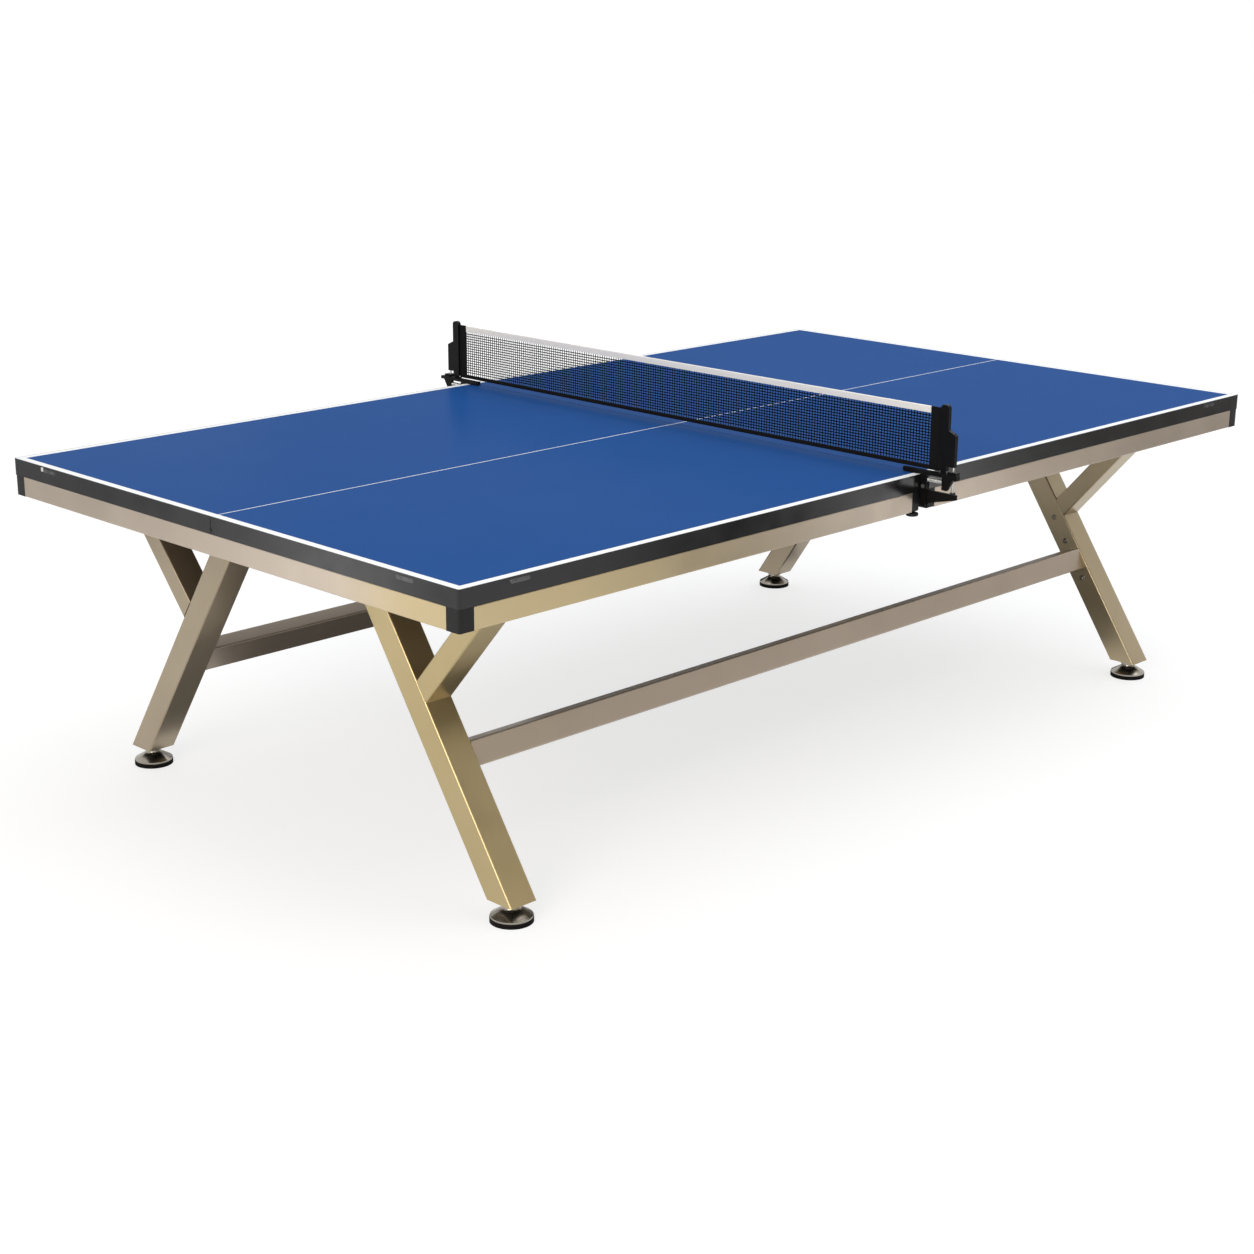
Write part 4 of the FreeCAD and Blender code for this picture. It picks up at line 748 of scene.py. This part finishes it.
work = bmesh.new()
for sx in NEAR_AND_FAR:
    for _, sy in SIDES:
        clip(work, Vector((sx * (HALF_LENGTH - CLIP_INSET), sy * HALF_WIDTH, clip_level)),
             Vector((1, 0, 0)), Vector((0, sy, 0)))
        clip(work, Vector((sx * HALF_LENGTH, sy * (HALF_WIDTH - CLIP_INSET), clip_level)),
             Vector((0, 1, 0)), Vector((sx, 0, 0)))
clips = new_piece("pressed_clips", mesh_of(work, "pressed_clips"), clip_finish, "table")
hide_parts("apron_clips")

# Painted highlight: a small white piece beside the near left clip stands for the glint off its end.
painted_glint, tree, shader, place = start_material("white_painted_glint", "#E4E6EA", 0.45)
emboss(tree, shader, grain(tree, place, 0.8), 0.03)
tint(tree, shader, grain(tree, place, 6), "#DDDFE3", "#ECEEF2")

PAD = 9 * MM
PAD_ROUND = 1.5 * MM
PAD_INSET = 122 * MM
PAD_SHARE = 0.8
work = bmesh.new()
pad_centre = Vector((-HALF_LENGTH, HALF_WIDTH - PAD_INSET, clip_level + 2 * MM))
swept(work, rounded_section(PAD, PAD, PAD_ROUND), pad_centre,
      pad_centre - Vector((clip_proud * PAD_SHARE, 0, 0)), UP)
new_piece("painted_glint_pad", mesh_of(work, "painted_glint_pad"), painted_glint, "table")
print("8 clips, %.1f mm proud" % (clip_proud / MM))

# %% [markdown]
# ## Studio
# The floor is plain white.  For the camera and in reflections it is mostly self-lit white, with
# enough real diffuse light in it to keep the soft shadow under the table.  The glow rises with
# distance, to make up for the lamps' falloff.  For scattered light it is grey paint, which bounces
# light on to the undersides.

# %% Floor
FLOOR_SIZE = 60.0
floor_mesh = bpy.data.meshes.new("studio_floor")
half_floor = FLOOR_SIZE / 2
floor_mesh.from_pydata([(-half_floor, -half_floor, 0), (half_floor, -half_floor, 0),
                        (half_floor, half_floor, 0), (-half_floor, half_floor, 0)],
                       [], [(0, 1, 2, 3)])
floor = bpy.data.objects.new("studio_floor", floor_mesh)
scene.collection.objects.link(floor)

floor_material = bpy.data.materials.new("white_studio_floor")
floor_material.use_nodes = True
tree = floor_material.node_tree
tree.nodes.clear()
FLOOR_GLOW = 0.72
FAR_GLOW = 0.9
GLOW_START = 2.0
GLOW_END = 7.0
FLOOR_SHADE = 0.36
FLOOR_TINT = (0.98, 1, 1.02)
GREY_PAINT = (0.5, 0.49, 0.48, 1)
paint = add(tree, "ShaderNodeBsdfDiffuse", {"Color": GREY_PAINT})
seen = add(tree, "ShaderNodeBsdfDiffuse",
           {"Color": [channel * FLOOR_SHADE for channel in FLOOR_TINT] + [1]})
place = add(tree, "ShaderNodeTexCoord").outputs["Object"]
distance = add(tree, "ShaderNodeVectorMath", {0: place}, operation="LENGTH").outputs["Value"]
far_off = add(tree, "ShaderNodeMapRange",
              {"Value": distance, "From Min": GLOW_START, "From Max": GLOW_END,
               "To Min": FLOOR_GLOW, "To Max": FAR_GLOW},
              interpolation_type="SMOOTHSTEP").outputs["Result"]
glow = add(tree, "ShaderNodeEmission", {"Color": (1, 1, 1, 1), "Strength": far_off})
both = add(tree, "ShaderNodeAddShader", {0: seen.outputs[0], 1: glow.outputs[0]})
choice = add(tree, "ShaderNodeMixShader", {0: seen_sharply(tree), 1: paint.outputs[0],
                                           2: both.outputs[0]})
add(tree, "ShaderNodeOutputMaterial", {"Surface": choice.outputs[0]})
floor_mesh.materials.append(floor_material)

# %% [markdown]
# ## Light
# A large soft box over the table gives the even, shadow-poor light of a catalogue.  A second one
# stands off the near end and lifts the faces that look that way.  The world fills in from all
# round, and shows as plain white to the camera and in metal.  Satin tubes only look like metal when
# they have something to mirror, so grey, dark and bright cards lie on the floor and stand round the
# table.  They give the long rails their slow changes of tone, and the legs their dark sides.  Only
# reflections show them, and they are placed for this camera; a camera on another side may want
# others.

# %% Lamps, cards and world
def soft_box(name, place, target, size, watts, colour="#FFFFFF"):
    """A square area lamp that faces a target."""
    data = bpy.data.lights.new(name, "AREA")
    data.shape = "SQUARE"
    data.size = size
    data.energy = watts
    data.color = linear(colour)[:3]
    lamp = bpy.data.objects.new(name, data)
    scene.collection.objects.link(lamp)
    lamp.location = place
    lamp.rotation_euler = (Vector(target) - Vector(place)).to_track_quat("-Z", "Y").to_euler()


def card(name, corner, across, up, strength, colour="#FFFFFF"):
    """A flat self-lit card from a corner and two edges, seen in reflections and nowhere else."""
    corner, across, up = Vector(corner), Vector(across), Vector(up)
    mesh = bpy.data.meshes.new(name)
    mesh.from_pydata([corner, corner + across, corner + across + up, corner + up], [],
                     [(0, 1, 2, 3)])
    material = bpy.data.materials.new(name)
    material.use_nodes = True
    tree = material.node_tree
    tree.nodes.clear()
    shine = add(tree, "ShaderNodeEmission", {"Color": linear(colour), "Strength": strength})
    add(tree, "ShaderNodeOutputMaterial", {"Surface": shine.outputs[0]})
    mesh.materials.append(material)
    sheet = bpy.data.objects.new(name, mesh)
    scene.collection.objects.link(sheet)
    sheet.visible_camera = False
    sheet.visible_diffuse = False
    sheet.visible_transmission = False
    sheet.visible_shadow = False


soft_box("over_table", (1.2, -0.4, 5.2), (0, 0, 0.5), 7.0, 230)
soft_box("near_end", (-5.5, -2.2, 2.6), (0, 0, 0.4), 3.0, 150, "#FFF4E4")
LIFT = 3 * MM
WARM_WHITE = "#FFF8F0"
card("dark_under_table", (-0.85, -0.45, LIFT), (2.1, 0, 0), (0, 1.0, 0), 0.05)
card("dark_by_near_leg", (-1.15, 0.3, LIFT), (0.3, 0, 0), (0, 0.26, 0), 0.15)
card("dark_beyond_stretcher", (-0.6, 1.1, 0.35), (0.6, 0, 0), (0, 0, 0.3), 0.03)
card("dark_at_left", (0.4, 1.1, LIFT), (2.9, 0, 0), (0, 0, 0.25), 0.03)
card("dark_floor_at_left", (0.7, 1.1, LIFT), (2.8, 0, 0), (0, 1.1, 0), 0.03)
card("dark_floor_at_right", (0.12, -1.7, LIFT), (0.95, 0, 0), (2.6, -2.5, 0), 0.0)
card("bright_floor_at_right", (1.22, -1.8, LIFT), (0.36, 0, 0), (3.0, -2.3, 0), 4.0)
card("grey_floor_at_right", (1.45, -1.6, LIFT), (3.0, 0, 0), (2.86, -2.2, 0), 0.25, WARM_WHITE)
card("bright_floor_at_end", (-2.69, 1.065, LIFT), (0.2, 0.15, 0), (-1.46, 1.9, 0), 4.0)
card("dark_floor_by_corner", (-2.96, 0.854, LIFT), (0.24, 0.18, 0), (-1.46, 1.9, 0), 0.2)
card("dark_floor_at_end", (-2.44, 1.26, LIFT), (0.2, 0.15, 0), (-0.73, 0.95, 0), 0.3)
card("grey_floor_at_end", (-3.3, 2.4, LIFT), (1.5, 0, 0), (-2.0, 3.4, 0), 0.5)
card("grey_beyond", (4.5, 8.0, 0), (5.0, -6.0, 0), (0, 0, 2.0), 0.2)
card("grey_at_right", (-1.0, -4.2, 0), (8.0, 0, 0), (0, 0, 4.0), 0.6, WARM_WHITE)
card("flag_at_right", (-0.7, -1.5, 0.9), (1.2, 0, 0), (0, 0, 0.45), 0.0)

WORLD_FILL = 0.42
world = bpy.data.worlds.new("white_studio")
scene.world = world
world.use_nodes = True
tree = world.node_tree
tree.nodes.clear()
fill = add(tree, "ShaderNodeBackground", {"Color": (1, 1, 1, 1), "Strength": WORLD_FILL})
white = add(tree, "ShaderNodeBackground", {"Color": (1, 1, 1, 1), "Strength": 1.0})
choice = add(tree, "ShaderNodeMixShader", {0: seen_sharply(tree), 1: fill.outputs[0],
                                           2: white.outputs[0]})
add(tree, "ShaderNodeOutputWorld", {"Surface": choice.outputs[0]})
scene.view_settings.view_transform = "Standard"
